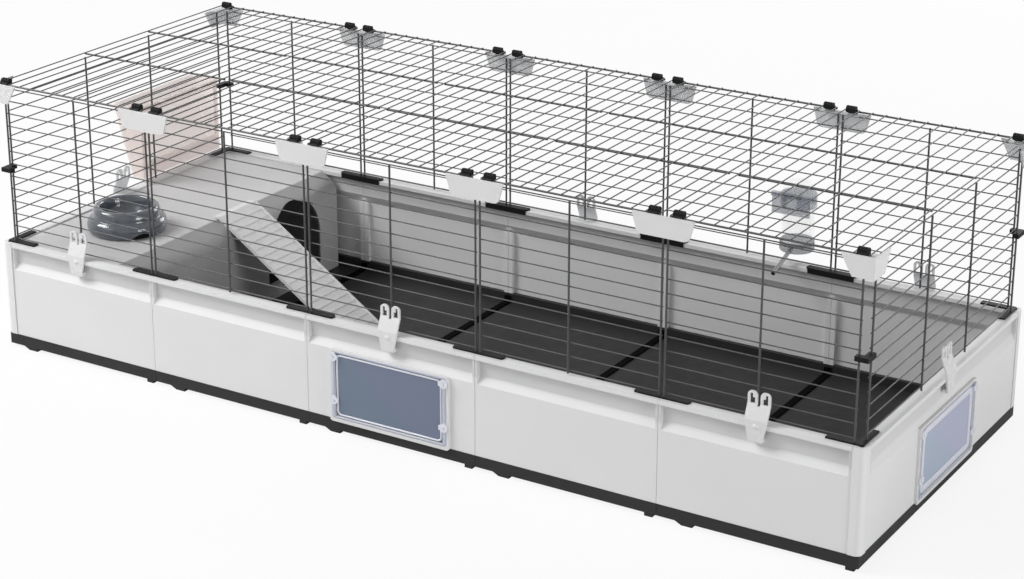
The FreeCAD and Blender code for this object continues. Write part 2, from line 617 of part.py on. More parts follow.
body = new_body("corner_ties")
tie_middle = f"(first_row + {TIE_ROW + 1 / 2} * row_pitch)"
tie_height = around(tie_middle, "tie_height")
tie_reach = "(frame_wire / 2 + tie_margin)"
block(body, "front_tie",
      (f"mesh_inset - {tie_reach} - half_length", f"front_mesh_end + {tie_reach} - half_length"),
      around("mesh_inset - half_depth", f"2 * {tie_reach}"), tie_height)
block(body, "side_tie", around("mesh_inset - half_length", f"2 * {tie_reach}"),
      (f"mesh_inset - {tie_reach} - half_depth", f"side_mesh_end + {tie_reach} - half_depth"), tie_height)
for across, along in (("front_mesh_end", "mesh_inset"), ("mesh_inset", "side_mesh_end")):
    bore_start = (f"{across} - half_length", f"{along} - half_depth", f"{tie_height[0]} - cut_overrun")
    rod(body, f"{across}_bore", bore_start, "z", "tie_height + 2 * cut_overrun",
        "frame_wire / 2 + seat_gap", cut=True)
mirrored(body, "other_end", "YZ_Plane")
mirrored(body, "other_side", "XZ_Plane")


# Top clips
def top_clips(label, side, inset, rise):
    """Clips on the two corners of one long side and over its joints."""
    body = new_body(label, side)
    faces = (f"{inset} - half_depth", f"{inset} + clip_sheet - half_depth")
    top = f"(shelf_high + {rise})"
    low = f"({top} - clip_height)"
    face_start = f"-({faces[1]})"
    shelf = (faces[1], "shelf_reach - half_depth")
    shelf_heights = ("shelf_low", "shelf_high")
    edge = f"{inset} - half_length"
    back = f"{inset} + clip_sheet - half_length"
    tip = f"{inset} + corner_leg - half_length"
    leg = f"{inset} + corner_leg - half_depth"
    corner_view = [(edge, top), (tip, top), (f"{tip} - corner_taper", low), (edge, low)]
    pad(body, "corner_face", outline(body, "corner_view", "XZ_Plane", corner_view, face_start), "clip_sheet")
    side_view = [(faces[0], top), (leg, top), (f"{leg} - corner_taper", low), (faces[0], low)]
    pad(body, "corner_side", outline(body, "side_view", "YZ_Plane", side_view, edge), "clip_sheet")
    rounded(body, "corner_rounding", "clip_sheet", UP,
            lambda point: near(point.x, number(edge)) and near(point.y, number(faces[0])))
    block(body, "corner_shelf", (back, f"{tip} - corner_taper"), shelf, shelf_heights)
    block(body, "side_shelf", (back, "shelf_reach - half_length"), (faces[1], f"{leg} - corner_taper"),
          shelf_heights)
    mirrored(body, "other_corner", "YZ_Plane")
    half_foot = "(clip_length / 2 - clip_taper)"
    for joint in range(1, BAY_COUNT):
        middle = joint_place(joint)
        right_side = [(f"{middle} + clip_length / 2", top)]
        left_side = [(f"{middle} - clip_length / 2", top)]
        for inward, upward in ROUND_SHARES:
            level = f"{low} + {upward} * clip_radius"
            right_side.append((f"{middle} + {half_foot} - {inward} * clip_radius", level))
            left_side.append((f"{middle} - {half_foot} + {inward} * clip_radius", level))
        plate_side = left_side[::-1] + right_side
        plate_view = outline(body, f"plate_view_{joint}", "XZ_Plane", plate_side, face_start)
        pad(body, f"plate_{joint}", plate_view, "clip_sheet")
        shelf_span = around(middle, f"2 * ({half_foot} - clip_radius)")
        block(body, f"shelf_{joint}", shelf_span, shelf, shelf_heights)
        block(body, f"boss_{joint}", around(middle, "pair_gap + 2 * frame_wire"),
              (faces[1], "wire_face - half_depth"), around(f"{top} - clip_height / 2", "clip_boss"))


top_clips("front_top_clips", "front", "front_clip_inset", "front_clip_rise")
top_clips("back_top_clips", "back", "back_clip_inset", "0")


# Roof meshes and their hooks
def roof_ends(bay):
    """First and last cross wire of a roof mesh."""
    end = "(half_length - roof_end)"
    return bay_ends(bay, f"-{end}", end, "roof_pair_gap / 2")


def roof_mesh(bay):
    """Rails and rods with cross wires welded on top."""
    body = new_body(f"roof_mesh_{bay}")
    left, right = roof_ends(bay)
    start = f"{left} - thin_wire / 2"
    length = f"{right} - {left} + thin_wire"
    for name, along in (("front_rail", "-roof_rail"), ("front_rod", "-rod_reach"), ("back_rod", "rod_reach"),
                        ("back_rail", "roof_rail")):
        rod(body, name, (start, along, "roof_level"), "x", length, "frame_wire / 2")
    cross = rod(body, "cross_wire", (left, "-roof_rail - thin_wire / 2", "roof_level + weld_step"), "y",
                "2 * roof_rail + thin_wire", "thin_wire / 2")
    row_of(body, "cross_wires", [cross], "X_Axis", f"{right} - {left}", CROSS_COUNT)


def roof_hooks(bay):
    """Split rings on the rails between the outermost cross wires, with grooved blocks behind them."""
    body = new_body(f"roof_hooks_{bay}")
    left, right = roof_ends(bay)
    pitch = f"(({right} - {left}) / {CROSS_COUNT - 1})"
    middle = f"({left} + {pitch} / 2)"
    first, last = around(middle, "hook_width")
    rail = "-roof_rail"
    hook_top = "roof_level + hook_rise"
    rod(body, "ring", (first, rail, "roof_level"), "x", "hook_width", "hook_radius")
    block(body, "block", (first, last), (rail, "hook_depth - roof_rail"), ("roof_level", hook_top))
    rounded(body, "block_rounding", "hook_rounding", ACROSS, lambda point: near(point.z, number(hook_top)))
    groove_pitch = f"hook_width / {GROOVE_COUNT + 1}"
    for index in range(1, GROOVE_COUNT + 1):
        block(body, f"groove_{index}", around(f"{first} + {index} * {groove_pitch}", "groove_width"),
              (f"{rail} - cut_overrun", "hook_depth + cut_overrun - roof_rail"),
              (f"{hook_top} - groove_depth", f"{hook_top} + cut_overrun"), cut=True)
    rod(body, "bore", (f"{first} - cut_overrun", rail, "roof_level"), "x", "hook_width + 2 * cut_overrun",
        "frame_wire / 2 + hook_fit", cut=True)
    block(body, "slot", (f"{first} - cut_overrun", f"{last} + cut_overrun"), around(rail, "hook_slot"),
          ("roof_level - hook_radius - cut_overrun", "roof_level"), cut=True)
    row_of(body, "pair", None, "X_Axis", f"{right} - {left} - {pitch}", 2)
    mirrored(body, "other_side", "XZ_Plane")


for bay in range(1, BAY_COUNT + 1):
    roof_mesh(bay)
    roof_hooks(bay)


# Latches
def latch(label, side, middle, reach):
    """Bent strip with a tapered foot, a toe in the channel and two eyed fingers against the mesh."""
    body = new_body(label, side)
    inner = f"-seat_gap - {reach}"
    outer = f"-seat_gap - latch_sheet - {reach}"
    lean = f"wire_face - {reach}"
    lean_outer = f"wire_face - latch_sheet - {reach}"
    foot = "rim_top - latch_drop"
    neck = "rim_top + latch_bend_rise"
    tip = "rim_top + latch_tip_rise"
    profile = [
        (inner, neck),
        (lean, "rim_top + latch_lean_rise"),
        (lean, tip),
        (lean_outer, tip),
        (lean_outer, "rim_top + latch_lean_rise + latch_sheet / 3"),
        (outer, f"{neck} + latch_sheet / 3"),
        (outer, neck),
    ]
    left = f"({middle} - latch_width / 2)"
    right = f"({middle} + latch_width / 2)"
    pad(body, "strip", outline(body, "profile", "YZ_Plane", profile, left), "latch_width")
    foot_ends = around(middle, "latch_foot_width")
    foot_view = [(left, neck), (right, neck), (foot_ends[1], foot), (foot_ends[0], foot)]
    pad(body, "foot", outline(body, "foot_view", "XZ_Plane", foot_view, f"-({inner})"), "latch_sheet")
    block(body, "toe", foot_ends, (outer, f"latch_toe - {reach}"), (foot, f"{foot} + latch_toe_height"))
    depth = (f"{outer} - cut_overrun", f"{lean} + cut_overrun")
    block(body, "finger_slot", around(middle, "latch_slot"), depth,
          ("rim_top + latch_slot_rise", f"{tip} + cut_overrun"), cut=True)
    eye_top = f"{tip} - latch_eye_drop"
    eye_place = "(latch_width + latch_slot) / 4"
    tongue_low = f"{eye_top} - latch_tongue_height"
    for outward, inward, name in (("-", "+", "left"), ("+", "-", "right")):
        eye_middle = f"{middle} {outward} {eye_place}"
        eye_side = f"{eye_middle} {outward} latch_eye / 2"
        block(body, f"{name}_eye", around(eye_middle, "latch_eye"), depth,
              (f"{eye_top} - latch_eye_height", tongue_low), cut=True)
        block(body, f"{name}_eye_top", (eye_side, f"{eye_side} {inward} (latch_eye - latch_tongue)"), depth,
              (tongue_low, eye_top), cut=True)
    rounded(body, "tip_rounding", "latch_radius", ALONG, lambda point: near(point.z, number(tip)))


for bay in LATCH_BAYS:
    bay_middle = f"({joint_place(bay - 1)} + {joint_place(bay)}) / 2"
    latch(f"front_latch_{bay}", "front", bay_middle, "half_depth")
    latch(f"back_latch_{bay}", "back", f"-{bay_middle}", "half_depth")
latch("left_latch", "left", "0", "half_length")
latch("right_latch", "right", "0", "half_length")

# Windows
STUDS = [
    (sign, level)
    for sign in ("-", "")
    for level in ("window_high - stud_top_inset", "window_low + stud_bottom_inset")
]


def window_frame(label, side, reach):
    """Frame on the wall face with four studs."""
    body = new_body(label, side)
    block(body, "frame", around("0", "window_width"), (f"window_front - {reach}", f"face_inset - {reach}"),
          ("window_low", "window_high"))
    rounded(body, "frame_rounding", "window_radius", ALONG, lambda middle: True)
    block(body, "opening", ("-opening_half", "opening_half"),
          (f"window_front - cut_overrun - {reach}", f"face_inset + cut_overrun - {reach}"),
          ("opening_low", "opening_high"), cut=True)
    for index, (sign, level) in enumerate(STUDS):
        start = (f"{sign}(window_width / 2 - stud_inset)", f"lug_front - stud_tip - {reach}", level)
        rod(body, f"stud_{index}", start, "y", "window_front - lug_front + stud_tip", "stud_radius")


def window_pane(label, side, reach):
    """Pane inside the frame with four lugs over the studs."""
    body = new_body(label, side)
    back = f"face_inset - seat_gap - {reach}"
    front = f"face_inset - seat_gap - pane_sheet - {reach}"
    half = "(opening_half - pane_gap)"
    block(body, "pane", (f"-{half}", half), (front, back),
          ("opening_low + pane_gap", "opening_high - pane_gap"))
    for index, (sign, level) in enumerate(STUDS):
        middle = f"{sign}(window_width / 2 - stud_inset)"
        block(body, f"bridge_{index}", (f"{sign}{half}", f"{sign}({half} - lug_bridge)"),
              (f"lug_front - {reach}", front), around(level, "lug_radius"))
        rod(body, f"lug_{index}", (middle, f"lug_front - {reach}", level), "y", "lug_sheet", "lug_radius")
        rod(body, f"lug_hole_{index}", (middle, f"lug_front - cut_overrun - {reach}", level), "y",
            "lug_sheet + cut_overrun", "stud_radius + seat_gap", cut=True)


for side, reach in (("front", "half_depth"), ("right", "half_length")):
    window_frame(f"{side}_window_frame", side, reach)
    window_pane(f"{side}_window_pane", side, reach)

# House and ramp
body = new_body("house")
house_left = "house_inset - half_length"
house_side = [
    (house_left, "floor_top"),
    ("house_right", "floor_top"),
    ("house_right", "shoulder_level"),
    ("house_right - shoulder_width", "platform_top"),
    (house_left, "platform_top"),
]
house_view = outline(body, "side_view", "XZ_Plane", house_side, "house_inset - half_depth")
pad(body, "solid", house_view, "cage_depth - 2 * house_inset")
rounded(body, "wall_turn", "house_radius", ALONG, lambda middle: near(middle.z, VALUES["shoulder_level"]))
doc.recompute()
solid = body.Tip
open_faces = [
    f"Face{index}" for index, face in enumerate(solid.Shape.Faces, start=1)
    if near(face.CenterOfMass.z, VALUES["floor_top"])
]
shell = body.newObject("PartDesign::Thickness", "shell")
shell.Base = (solid, open_faces)
bind(shell, {"Value": "house_sheet"})
shell.Reversed = True
shell.Join = "Intersection"
body.Tip = shell
arch_middle = "cage_depth * (arch_place_share - 1 / 2)"
sill_top = "floor_top + arch_sill"
block(body, "door_sides", ("turn_place", "house_right + cut_overrun"), around(arch_middle, "arch_width"),
      (sill_top, "floor_top + arch_spring"), cut=True)
rod(body, "door_arch", ("turn_place", arch_middle, "floor_top + arch_spring"), "x",
    "house_radius + cut_overrun", "arch_width / 2", cut=True)
block(body, "door_sill", ("house_right - sill_depth", "house_right"), around(arch_middle, "arch_width"),
      (f"{sill_top} - house_sheet", sill_top))

body = new_body("ramp")
ramp_side = [
    ("0", "0"),
    ("ramp_run", "0"),
    ("ramp_run", "ramp_sheet"),
    ("-ramp_slant", "ramp_sheet"),
    ("-lip_top_run", "-lip_top_rise"),
    ("-lip_run", "-lip_rise"),
]
pad(body, "plate", outline(body, "side_view", "XZ_Plane", ramp_side, "-ramp_width / 2"), "ramp_width")
for sign, side in (("-", "front"), ("", "back")):
    rim = (f"{sign}ramp_width / 2", f"{sign}(ramp_width / 2 - ramp_rim)")
    block(body, f"{side}_rim", ("0", "ramp_run"), rim, ("ramp_sheet", "ramp_sheet + ramp_rim"))
ridge = block(body, "ridge", ("ridge_pitch", "ridge_pitch + ridge_width"),
              around("0", "ramp_width - 2 * ramp_rim"), ("ramp_sheet", "ramp_sheet + ridge_height"))
ridge_count = int(number("(ramp_run - ridge_width) / ridge_pitch"))
row_of(body, "ridges", [ridge], "X_Axis", f"{ridge_count - 1} * ridge_pitch", ridge_count)
body.Placement = FreeCAD.Placement(Vector(), FreeCAD.Rotation(ALONG, VALUES["ramp_angle"]))
bind(body, {"Placement.Rotation.Angle": "ramp_angle"})
place(body, ("bend_place", "cage_depth * (ramp_place_share - 1 / 2)", "bend_level"))


# Turned pieces
def turned(body, name, points):
    """Section turned about the upright axis of its body."""
    item = body.newObject("PartDesign::Revolution", name)
    item.Profile = outline(body, f"{name}_section", "XZ_Plane", points, "0")
    item.ReferenceAxis = (origin(body, "Z_Axis"), [""])
    item.Angle = 360
    body.Tip = item
    return item


body = new_body("bowl")
bowl_section = [(f"{across} * bowl_radius", f"{upward} * bowl_height") for across, upward in BOWL_SHARES]
turned(body, "dish", bowl_section)
place(body, ("bowl_place - half_length", "cage_depth * (bowl_depth_share - 1 / 2)", "platform_top"))


# Hay rack and bottle
def hanger(body, name, middle, start, top, reach):
    """Hook over one rung, from a face outside the mesh."""
    width = around(middle, "hanger_width")
    far = f"rung_line + thin_wire / 2 + seat_gap - {reach}"
    end = f"{far} + hanger_sheet"
    block(body, f"{name}_bridge", width, (f"{start} - {reach}", end), (f"{top} - hanger_sheet", top))
    block(body, f"{name}_tip", width, (far, end), (f"{top} - hanger_sheet - hanger_drop", top))


body = new_body("hay_rack", "left")
rack_middle = "-rack_place"
inner_face = "wire_face - half_length"
rack_side = [
    (inner_face, "rack_low"),
    (inner_face, "rack_high"),
    (f"{inner_face} - rack_top_depth", "rack_high"),
    (f"{inner_face} - rack_bottom_depth", "rack_low"),
]
hollow_side = [
    (f"{inner_face} - rack_sheet", "rack_low + rack_sheet"),
    (f"{inner_face} - rack_sheet", "rack_high + cut_overrun"),
    (f"{inner_face} - rack_top_depth + rack_sheet", "rack_high + cut_overrun"),
    (f"{inner_face} - rack_bottom_depth + rack_sheet", "rack_low + rack_sheet"),
]
rack_ends = around(rack_middle, "rack_width")
hollow_ends = around(rack_middle, "rack_width - 2 * rack_sheet")
pad(body, "solid", outline(body, "side_view", "YZ_Plane", rack_side, rack_ends[0]), "rack_width")
hollow = body.newObject("PartDesign::Pocket", "hollow")
hollow.Profile = outline(body, "hollow_view", "YZ_Plane", hollow_side, hollow_ends[1])
bind(hollow, {"Length": "rack_width - 2 * rack_sheet"})
body.Tip = hollow
block(body, "feeding_opening", around(rack_middle, "rack_width - 2 * rack_rail"),
      (f"{inner_face} - rack_sheet - cut_overrun", f"{inner_face} + cut_overrun"),
      ("rack_low + rack_lip", "rack_high - rack_rail"), cut=True)
for sign, name in (("-", "left"), ("+", "right")):
    hanger_middle = f"({rack_middle} {sign} hanger_spread_share * rack_width)"
    hanger(body, name, hanger_middle, "wire_face", "rack_high", "half_length")

bottle_axis = ("-bottle_place", "bottle_line - half_depth")
body = new_body("bottle", "back")
tall = "bottle_height"
turned(body, "shell", [
    ("bottle_radius - bottle_wall", "0"),
    ("bottle_radius", "0"),
    ("bottle_radius", f"{tall} - bottle_dome"),
    ("bottle_radius - bottle_dome", tall),
    ("0", tall),
    ("0", f"{tall} - bottle_wall"),
    ("bottle_radius - bottle_dome - bottle_wall / 2", f"{tall} - bottle_wall"),
    ("bottle_radius - bottle_wall", f"{tall} - bottle_dome - bottle_wall / 2"),
])
place(body, ("bottle_place", "half_depth - bottle_line", "cap_top"))

body = new_body("bottle_cap", "back")
rod(body, "cap", (*bottle_axis, "cap_low"), "z", "cap_height", "cap_radius")
rod(body, "hollow", (*bottle_axis, "cap_low + cap_floor"), "z", "cap_height - cap_floor + cut_overrun",
    "bottle_radius - 2 * bottle_wall", cut=True)


def spout_rod(body, name, start, length, radius, cut):
    """Sloping cylinder on the spout axis."""
    inner_end = ("-bottle_place", f"{start} - half_depth", "spout_top")
    item = rod(body, name, inner_end, "z", length, radius, cut=cut)
    item.Placement = FreeCAD.Placement(Vector(), FreeCAD.Rotation(-ACROSS, number("spout_angle + 90")))
    bind(item, {"Placement.Rotation.Angle": "spout_angle + 90"})
    return item


spout_rod(body, "spout_hole", "spout_back", "spout_length", "spout_radius + seat_gap", True)
body = new_body("spout", "back")
spout_rod(body, "tube", "spout_back", "spout_length", "spout_radius", False)
spout_rod(body, "tube_hole", "spout_back", "spout_length", "spout_bore", True)

body = new_body("bottle_bracket", "back")
plate_faces = ("rung_face - half_depth", "rung_face - plate_sheet - half_depth")
block(body, "plate", around("-bottle_place", "plate_width"), plate_faces,
      ("plate_top - plate_height", "plate_top"))
ring_low = "plate_top - (plate_height + ring_height) / 2"
rod(body, "ring", (*bottle_axis, ring_low), "z", "ring_height", "ring_radius")
rod(body, "ring_hole", (*bottle_axis, f"{ring_low} - cut_overrun"), "z", "ring_height + 2 * cut_overrun",
    "bottle_radius + seat_gap", cut=True)
for sign, name in (("-", "left"), ("+", "right")):
    hanger_middle = f"(-bottle_place {sign} (plate_width - hanger_width) / 2)"
    hanger(body, name, hanger_middle, "rung_face", "plate_top", "half_depth")

doc.recompute()

# Checks and files
os.makedirs("parts", exist_ok=True)
for item in doc.Objects:
    if "Invalid" in item.State or "Error" in item.State:
        raise RuntimeError(f"{item.Label} did not build: {item.getStatusString()}")
for node in nodes:
    shape = node.Shape
    if shape.isNull() or not shape.isValid():
        raise RuntimeError(f"{node.Label} has no valid shape")
    shape.exportStep(os.path.join("parts", f"{node.Label}.step"))
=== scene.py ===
import bmesh
import bpy
import numpy as np
from bpy.props import FloatProperty, FloatVectorProperty, PointerProperty
from bpy.types import Operator, Panel, PropertyGroup
from mathutils import Matrix, Vector


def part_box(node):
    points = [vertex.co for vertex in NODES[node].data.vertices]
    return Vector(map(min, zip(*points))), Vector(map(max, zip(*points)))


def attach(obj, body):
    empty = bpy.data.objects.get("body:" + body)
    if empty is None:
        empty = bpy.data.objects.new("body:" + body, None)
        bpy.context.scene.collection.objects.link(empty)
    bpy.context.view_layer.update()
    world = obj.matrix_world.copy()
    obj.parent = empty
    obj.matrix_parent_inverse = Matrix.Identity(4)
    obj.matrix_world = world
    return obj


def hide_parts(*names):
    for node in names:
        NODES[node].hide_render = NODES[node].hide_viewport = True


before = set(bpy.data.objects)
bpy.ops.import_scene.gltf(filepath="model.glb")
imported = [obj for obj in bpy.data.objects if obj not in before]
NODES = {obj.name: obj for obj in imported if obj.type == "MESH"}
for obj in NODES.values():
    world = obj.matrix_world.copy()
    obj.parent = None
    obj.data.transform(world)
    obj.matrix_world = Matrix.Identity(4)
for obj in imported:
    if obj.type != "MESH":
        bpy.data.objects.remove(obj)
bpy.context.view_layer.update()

bl_info = {
    "name": "Small animal cage",
    "version": (1, 0, 0),
    "blender": (4, 5, 0),
    "location": "View3D > Sidebar > Cage",
    "description": "Dresses the packed cage with finishes, turned pieces, fittings and a studio",
    "category": "Object",
}

BAYS = range(1, 6)
LATCH_BAYS = (1, 3, 5)
UPWARD = (0, 0, 1)
# Directions along the rim, seen from outside, for each side of the cage
ALONG_RIM = {"front": (1, 0, 0), "right": (0, 1, 0), "back": (-1, 0, 0), "left": (0, -1, 0)}

# Points closer than this are one point
MERGE_REACH = 1e-6
# Points along a quarter turn of a rounded corner
CORNER_STEPS = 9

# Panes and the holes of their frames: half the width, half the height, middle above the ground
PANE_HALF, PANE_RISE, PANE_LEVEL = 0.1114, 0.0594, 0.096
FRAME_HOLE_HALF, FRAME_HOLE_RISE = 0.1122, 0.0602
# Faces of the panes and the frames from the middle of the cage
PANE_FACE = {"front": 0.3478, "right": 0.8878}
FRAME_FACE = {"front": 0.3495, "right": 0.8895}
# Places past which a pane's surface belongs to its eyelets
EYELET_LIMIT = {"front": -0.349, "right": 0.889}
BEAD_STEPS, BEAD_BACK_SHARE, BEAD_CORNER = 16, -0.2, 0.008
GROOVE_INNER_CORNER, GROOVE_OUTER_CORNER = 0.002, 0.006

# Boss of a latch: steps up its dome and round it, its squeeze and the share of it sunk in the latch
BOSS_RISE_STEPS, BOSS_TURN_STEPS = 8, 32
BOSS_SQUEEZE = (1, 2 / 3, 1)
BOSS_SINK_SHARE = 1 / 4

# Bowl section as shares of its radius and its height, from the underside round to the inside
BOWL_OUTLINE = [
    (0.0, 0.03), (0.55, 0.03), (0.8, 0.015), (0.92, 0.0), (0.975, 0.06), (1.0, 0.2), (0.995, 0.36),
    (0.965, 0.49), (0.91, 0.575), (0.872, 0.6), (0.858, 0.65), (0.845, 0.78), (0.815, 0.91),
    (0.77, 0.985), (0.72, 1.0), (0.675, 0.965), (0.645, 0.83), (0.6, 0.58), (0.52, 0.4),
    (0.38, 0.305), (0.2, 0.275), (0.0, 0.27),
]
BOWL_CURVE_STEPS, BOWL_TURN_STEPS = 8, 160
NOTCH_TURN, NOTCH_HALF_WIDTH = np.radians(-27.0), np.radians(19.0)
# Black pad under the bowl, a painted shadow seen through its notch: section as shares of its radius
# and the notch, and its share of the bowl
SHADOW_PAD_OUTLINE = [(0, 0.04), (1, 0.04), (1, 1), (0, 1)]
SHADOW_PAD_SHARE = 0.9

# Bottle section as shares of its radius and its height, from the neck up
BOTTLE_OUTLINE = [
    (0.0, 0.0), (0.86, 0.0), (0.9, 0.015), (0.9, 0.05), (0.97, 0.085), (1.0, 0.13), (1.0, 0.3),
    (0.985, 0.325), (1.0, 0.35), (1.0, 0.6), (0.985, 0.625), (1.0, 0.65), (1.0, 0.83),
    (0.97, 0.89), (0.86, 0.945), (0.64, 0.98), (0.3, 0.995), (0.0, 1.0),
]
BOTTLE_CURVE_STEPS, ROUND_STEPS = 6, 96
WATER_SHARE = 0.78
# Cap section as shares of its radius, its height and the depth of its ribs
CAP_OUTLINE = [
    (0, 0, 0), (0.9, 0, 0), (0.96, 0.04, 0), (0.98, 0.1, 0.5), (0.98, 0.2, 1), (0.98, 0.8, 1),
    (0.985, 0.86, 0.2), (0.985, 0.96, 0), (0.97, 1, 0), (0.945, 1, 0), (0.945, 0.6, 0), (0, 0.6, 0),
]
CAP_TURN_STEPS, CAP_RIBS, CAP_RIB_DEPTH = 288, 48, 0.0005

# Painted shade by height: heights above the ground and the share of the colour left there. The
# walls get a darker band in the channel under their rim, and the house gets darker sides below its
# platform top
WALL_SHADE_STOPS = [(0.17, 1.0), (0.176, 0.87), (0.203, 0.83), (0.206, 1.0)]
HOUSE_SHADE_STOPS = [(0.165, 0.72), (0.188, 0.58), (0.2096, 0.58), (0.2104, 1.0)]
# Noise values between which a colour or a polish goes from its lowest to its highest
CLOUD_LOW, CLOUD_HIGH = 0.3, 0.7
# Polish of moulded and of clear plastic, below and above its middle, and the smoothest one
MOULDED_BELOW, MOULDED_ABOVE = 0.05, 0.06
CLEAR_BELOW, CLEAR_ABOVE = 0.04, 0.05
SMOOTHEST = 0.02
EDGE_SAMPLES = 4
# Painted reflection on the smoked panes: slant and limits of its soft line, and the tint on its
# lower side
REFLECTION_SLANT, REFLECTION_LINE_LOW, REFLECTION_LINE_HIGH = 0.8, 0.06, 0.11
REFLECTION_TINT_SHARES = (0.9, 1.02, 0.96)
# Places of the colour sockets on a Mix node
MIX_SHARE, MIX_FIRST, MIX_SECOND, MIX_RESULT = 0, 6, 7, 2

# Studio: lamps with place, aim, size and power
LAMPS = {
    "key_lamp": ((-4.4, -2.4, 4.6), (0, 0, 0.2), 3.2, 350.0),
    "fill_lamp": ((5.6, -1.2, 1.0), (0, 0, 0.2), 2.4, 118.0),
    "front_lamp": ((-2.6, -4.6, 3.4), (0, 0, 0.2), 3.0, 30.0),
    "back_lamp": ((0.6, 5.4, 1.8), (0, 0, 0.3), 3.0, 100.0),
}
WHITE = (1, 1, 1, 1)
WORLD_LIGHT = 0.3
GROUND_COLOUR = (0.84, 0.84, 0.84, 1)
# Share of white that the camera sees in the floor
GROUND_GLOW = 0.86
# Camera at the photo's angle: its directions to the right, up and back
CAMERA_LENS, CAMERA_SENSOR, CAMERA_SHIFT, CAMERA_REACH = 83.925, 36.0, -0.06, 200.0
CAMERA_PLACE = (2.1588, -3.4735, 1.7777)
CAMERA_RIGHT = (0.85319, 0.5216, 0.0014)
CAMERA_UP = (-0.17817, 0.28891, 0.94063)
CAMERA_BACK = (0.49023, -0.80278, 0.33943)


# Meshes from arrays
def put_mesh(name, points, quads, smooth=True, closed=True):
    """An object at the origin from an array of points and an array of faces with four corners each.
    A closed form has its doubled points merged and its faces turned outwards."""
    mesh = bpy.data.meshes.new(name)
    mesh.vertices.add(len(points))
    mesh.vertices.foreach_set("co", np.ascontiguousarray(points, np.float32).ravel())
    mesh.loops.add(quads.size)
    mesh.loops.foreach_set("vertex_index", np.ascontiguousarray(quads, np.int32).ravel())
    mesh.polygons.add(len(quads))
    mesh.polygons.foreach_set("loop_start", np.arange(0, quads.size, 4, dtype=np.int32))
    mesh.update(calc_edges=True)
    if closed:
        form = bmesh.new()
        form.from_mesh(mesh)
        bmesh.ops.remove_doubles(form, verts=form.verts, dist=MERGE_REACH)
        bmesh.ops.recalc_face_normals(form, faces=form.faces)
        form.to_mesh(mesh)
        form.free()
    mesh.polygons.foreach_set("use_smooth", np.full(len(mesh.polygons), smooth))
    mesh.validate()
    piece = bpy.data.objects.new(name, mesh)
    bpy.context.scene.collection.objects.link(piece)
    return piece


def smooth_curve(points, steps):
    """Points along a smooth curve through the given points: cubic pieces whose slope at each
    point is half the way from the point before it to the point after it."""
    p = np.asarray(points, float)
    p = np.vstack([2 * p[0] - p[1], p, 2 * p[-1] - p[-2]])
    t = np.linspace(0, 1, steps, endpoint=False)[:, None, None]
    a, b, c, d = p[:-3], p[1:-2], p[2:-1], p[3:]
    square, cube = 2 * a - 5 * b + 4 * c - d, 3 * b - a - 3 * c + d
    curve = 0.5 * (2 * b + (c - a) * t + square * t**2 + cube * t**3)
    return np.vstack([curve.transpose(1, 0, 2).reshape(-1, p.shape[1]), p[-2]])


def grid_faces(rows, columns, wrap_rows):
    """Faces with four corners between the neighbours of a grid of points. The columns close
    round, and the rows do where asked."""
    steps = np.arange(rows if wrap_rows else rows - 1)
    r, c = np.meshgrid(steps, np.arange(columns), indexing="ij")
    r2, c2 = (r + 1) % rows, (c + 1) % columns
    corners = [r * columns + c, r2 * columns + c, r2 * columns + c2, r * columns + c2]
    return np.stack(corners, -1).reshape(-1, 4)


def put_grid(name, grid, wrap_rows=False):
    """A closed piece from a grid whose columns run round."""
    rows, columns = grid.shape[:2]
    return put_mesh(name, grid.reshape(-1, 3), grid_faces(rows, columns, wrap_rows))


def lathe(profile, steps, ribs=0, rib_depth=0.0):
    """Grid of a turned form: across = radius times the cosine of the turn, along = radius times
    its sine, out = height. Ribs add their depth times the cosine of the turn taken once per rib."""
    turn = np.linspace(0, 2 * np.pi, steps, endpoint=False)
    radius = profile[:, :1] + np.reshape(rib_depth, (-1, 1)) * np.cos(ribs * turn)
    height = profile[:, 1:] + 0 * turn
    return np.stack([radius * np.cos(turn), radius * np.sin(turn), height], -1)


def rounded_loop(half_width, half_height, radius):
    """Rounded rectangle: a quarter turn of the radius about each of its four corner centres."""
    turn = np.linspace(0, np.pi / 2, CORNER_STEPS) + np.arange(4)[:, None] * np.pi / 2
    slant = turn[:, :1] + np.pi / 4
    side = np.sign(np.stack([np.cos(slant), np.sin(slant)], -1))
    centre = side * (half_width - radius, half_height - radius)
    return (centre + radius * np.stack([np.cos(turn), np.sin(turn)], -1)).reshape(-1, 2)


def loop_bead(half_width, half_height, radius, section):
    """Grid of a bead round a rounded rectangle: each pair of a section, spread and rise, moves the
    loop outwards by the spread and lifts it by the rise."""
    loops = [rounded_loop(half_width + s, half_height + s, radius + s) for s in section[:, 0]]
    rises = section[:, 1:] + np.zeros(4 * CORNER_STEPS)
    return np.concatenate([np.stack(loops), rises[..., None]], -1)


def grid_notch(grid, middle, half_width, rise):
    """A finger notch under a turned form: near one turn the underside is lifted to a low arch, its
    height the rise times one minus the square of the turn from its middle over its half width."""
    turn = np.arctan2(grid[..., 1], grid[..., 0]) - middle
    arch = rise * np.maximum(1 - (turn / half_width) ** 2, 0)
    lifted = grid.copy()
    lifted[..., 2] = np.maximum(grid[..., 2], arch)
    return lifted


def set_on(grid, origin, across, along):
    """A grid of across, along and out laid on a face: origin + across + along + out, where out is
    the cross product of the two directions of the face."""
    axes = np.stack([across, along, np.cross(across, along)]).astype(float)
    return np.asarray(origin, float) + grid @ axes


def turned_place(node):
    """Middle of a turned node's foot, its radius and its height, from its box."""
    low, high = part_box(node)
    centre = ((low.x + high.x) / 2, (low.y + high.y) / 2, low.z)
    return centre, (high.x - low.x) / 2, high.z - low.z


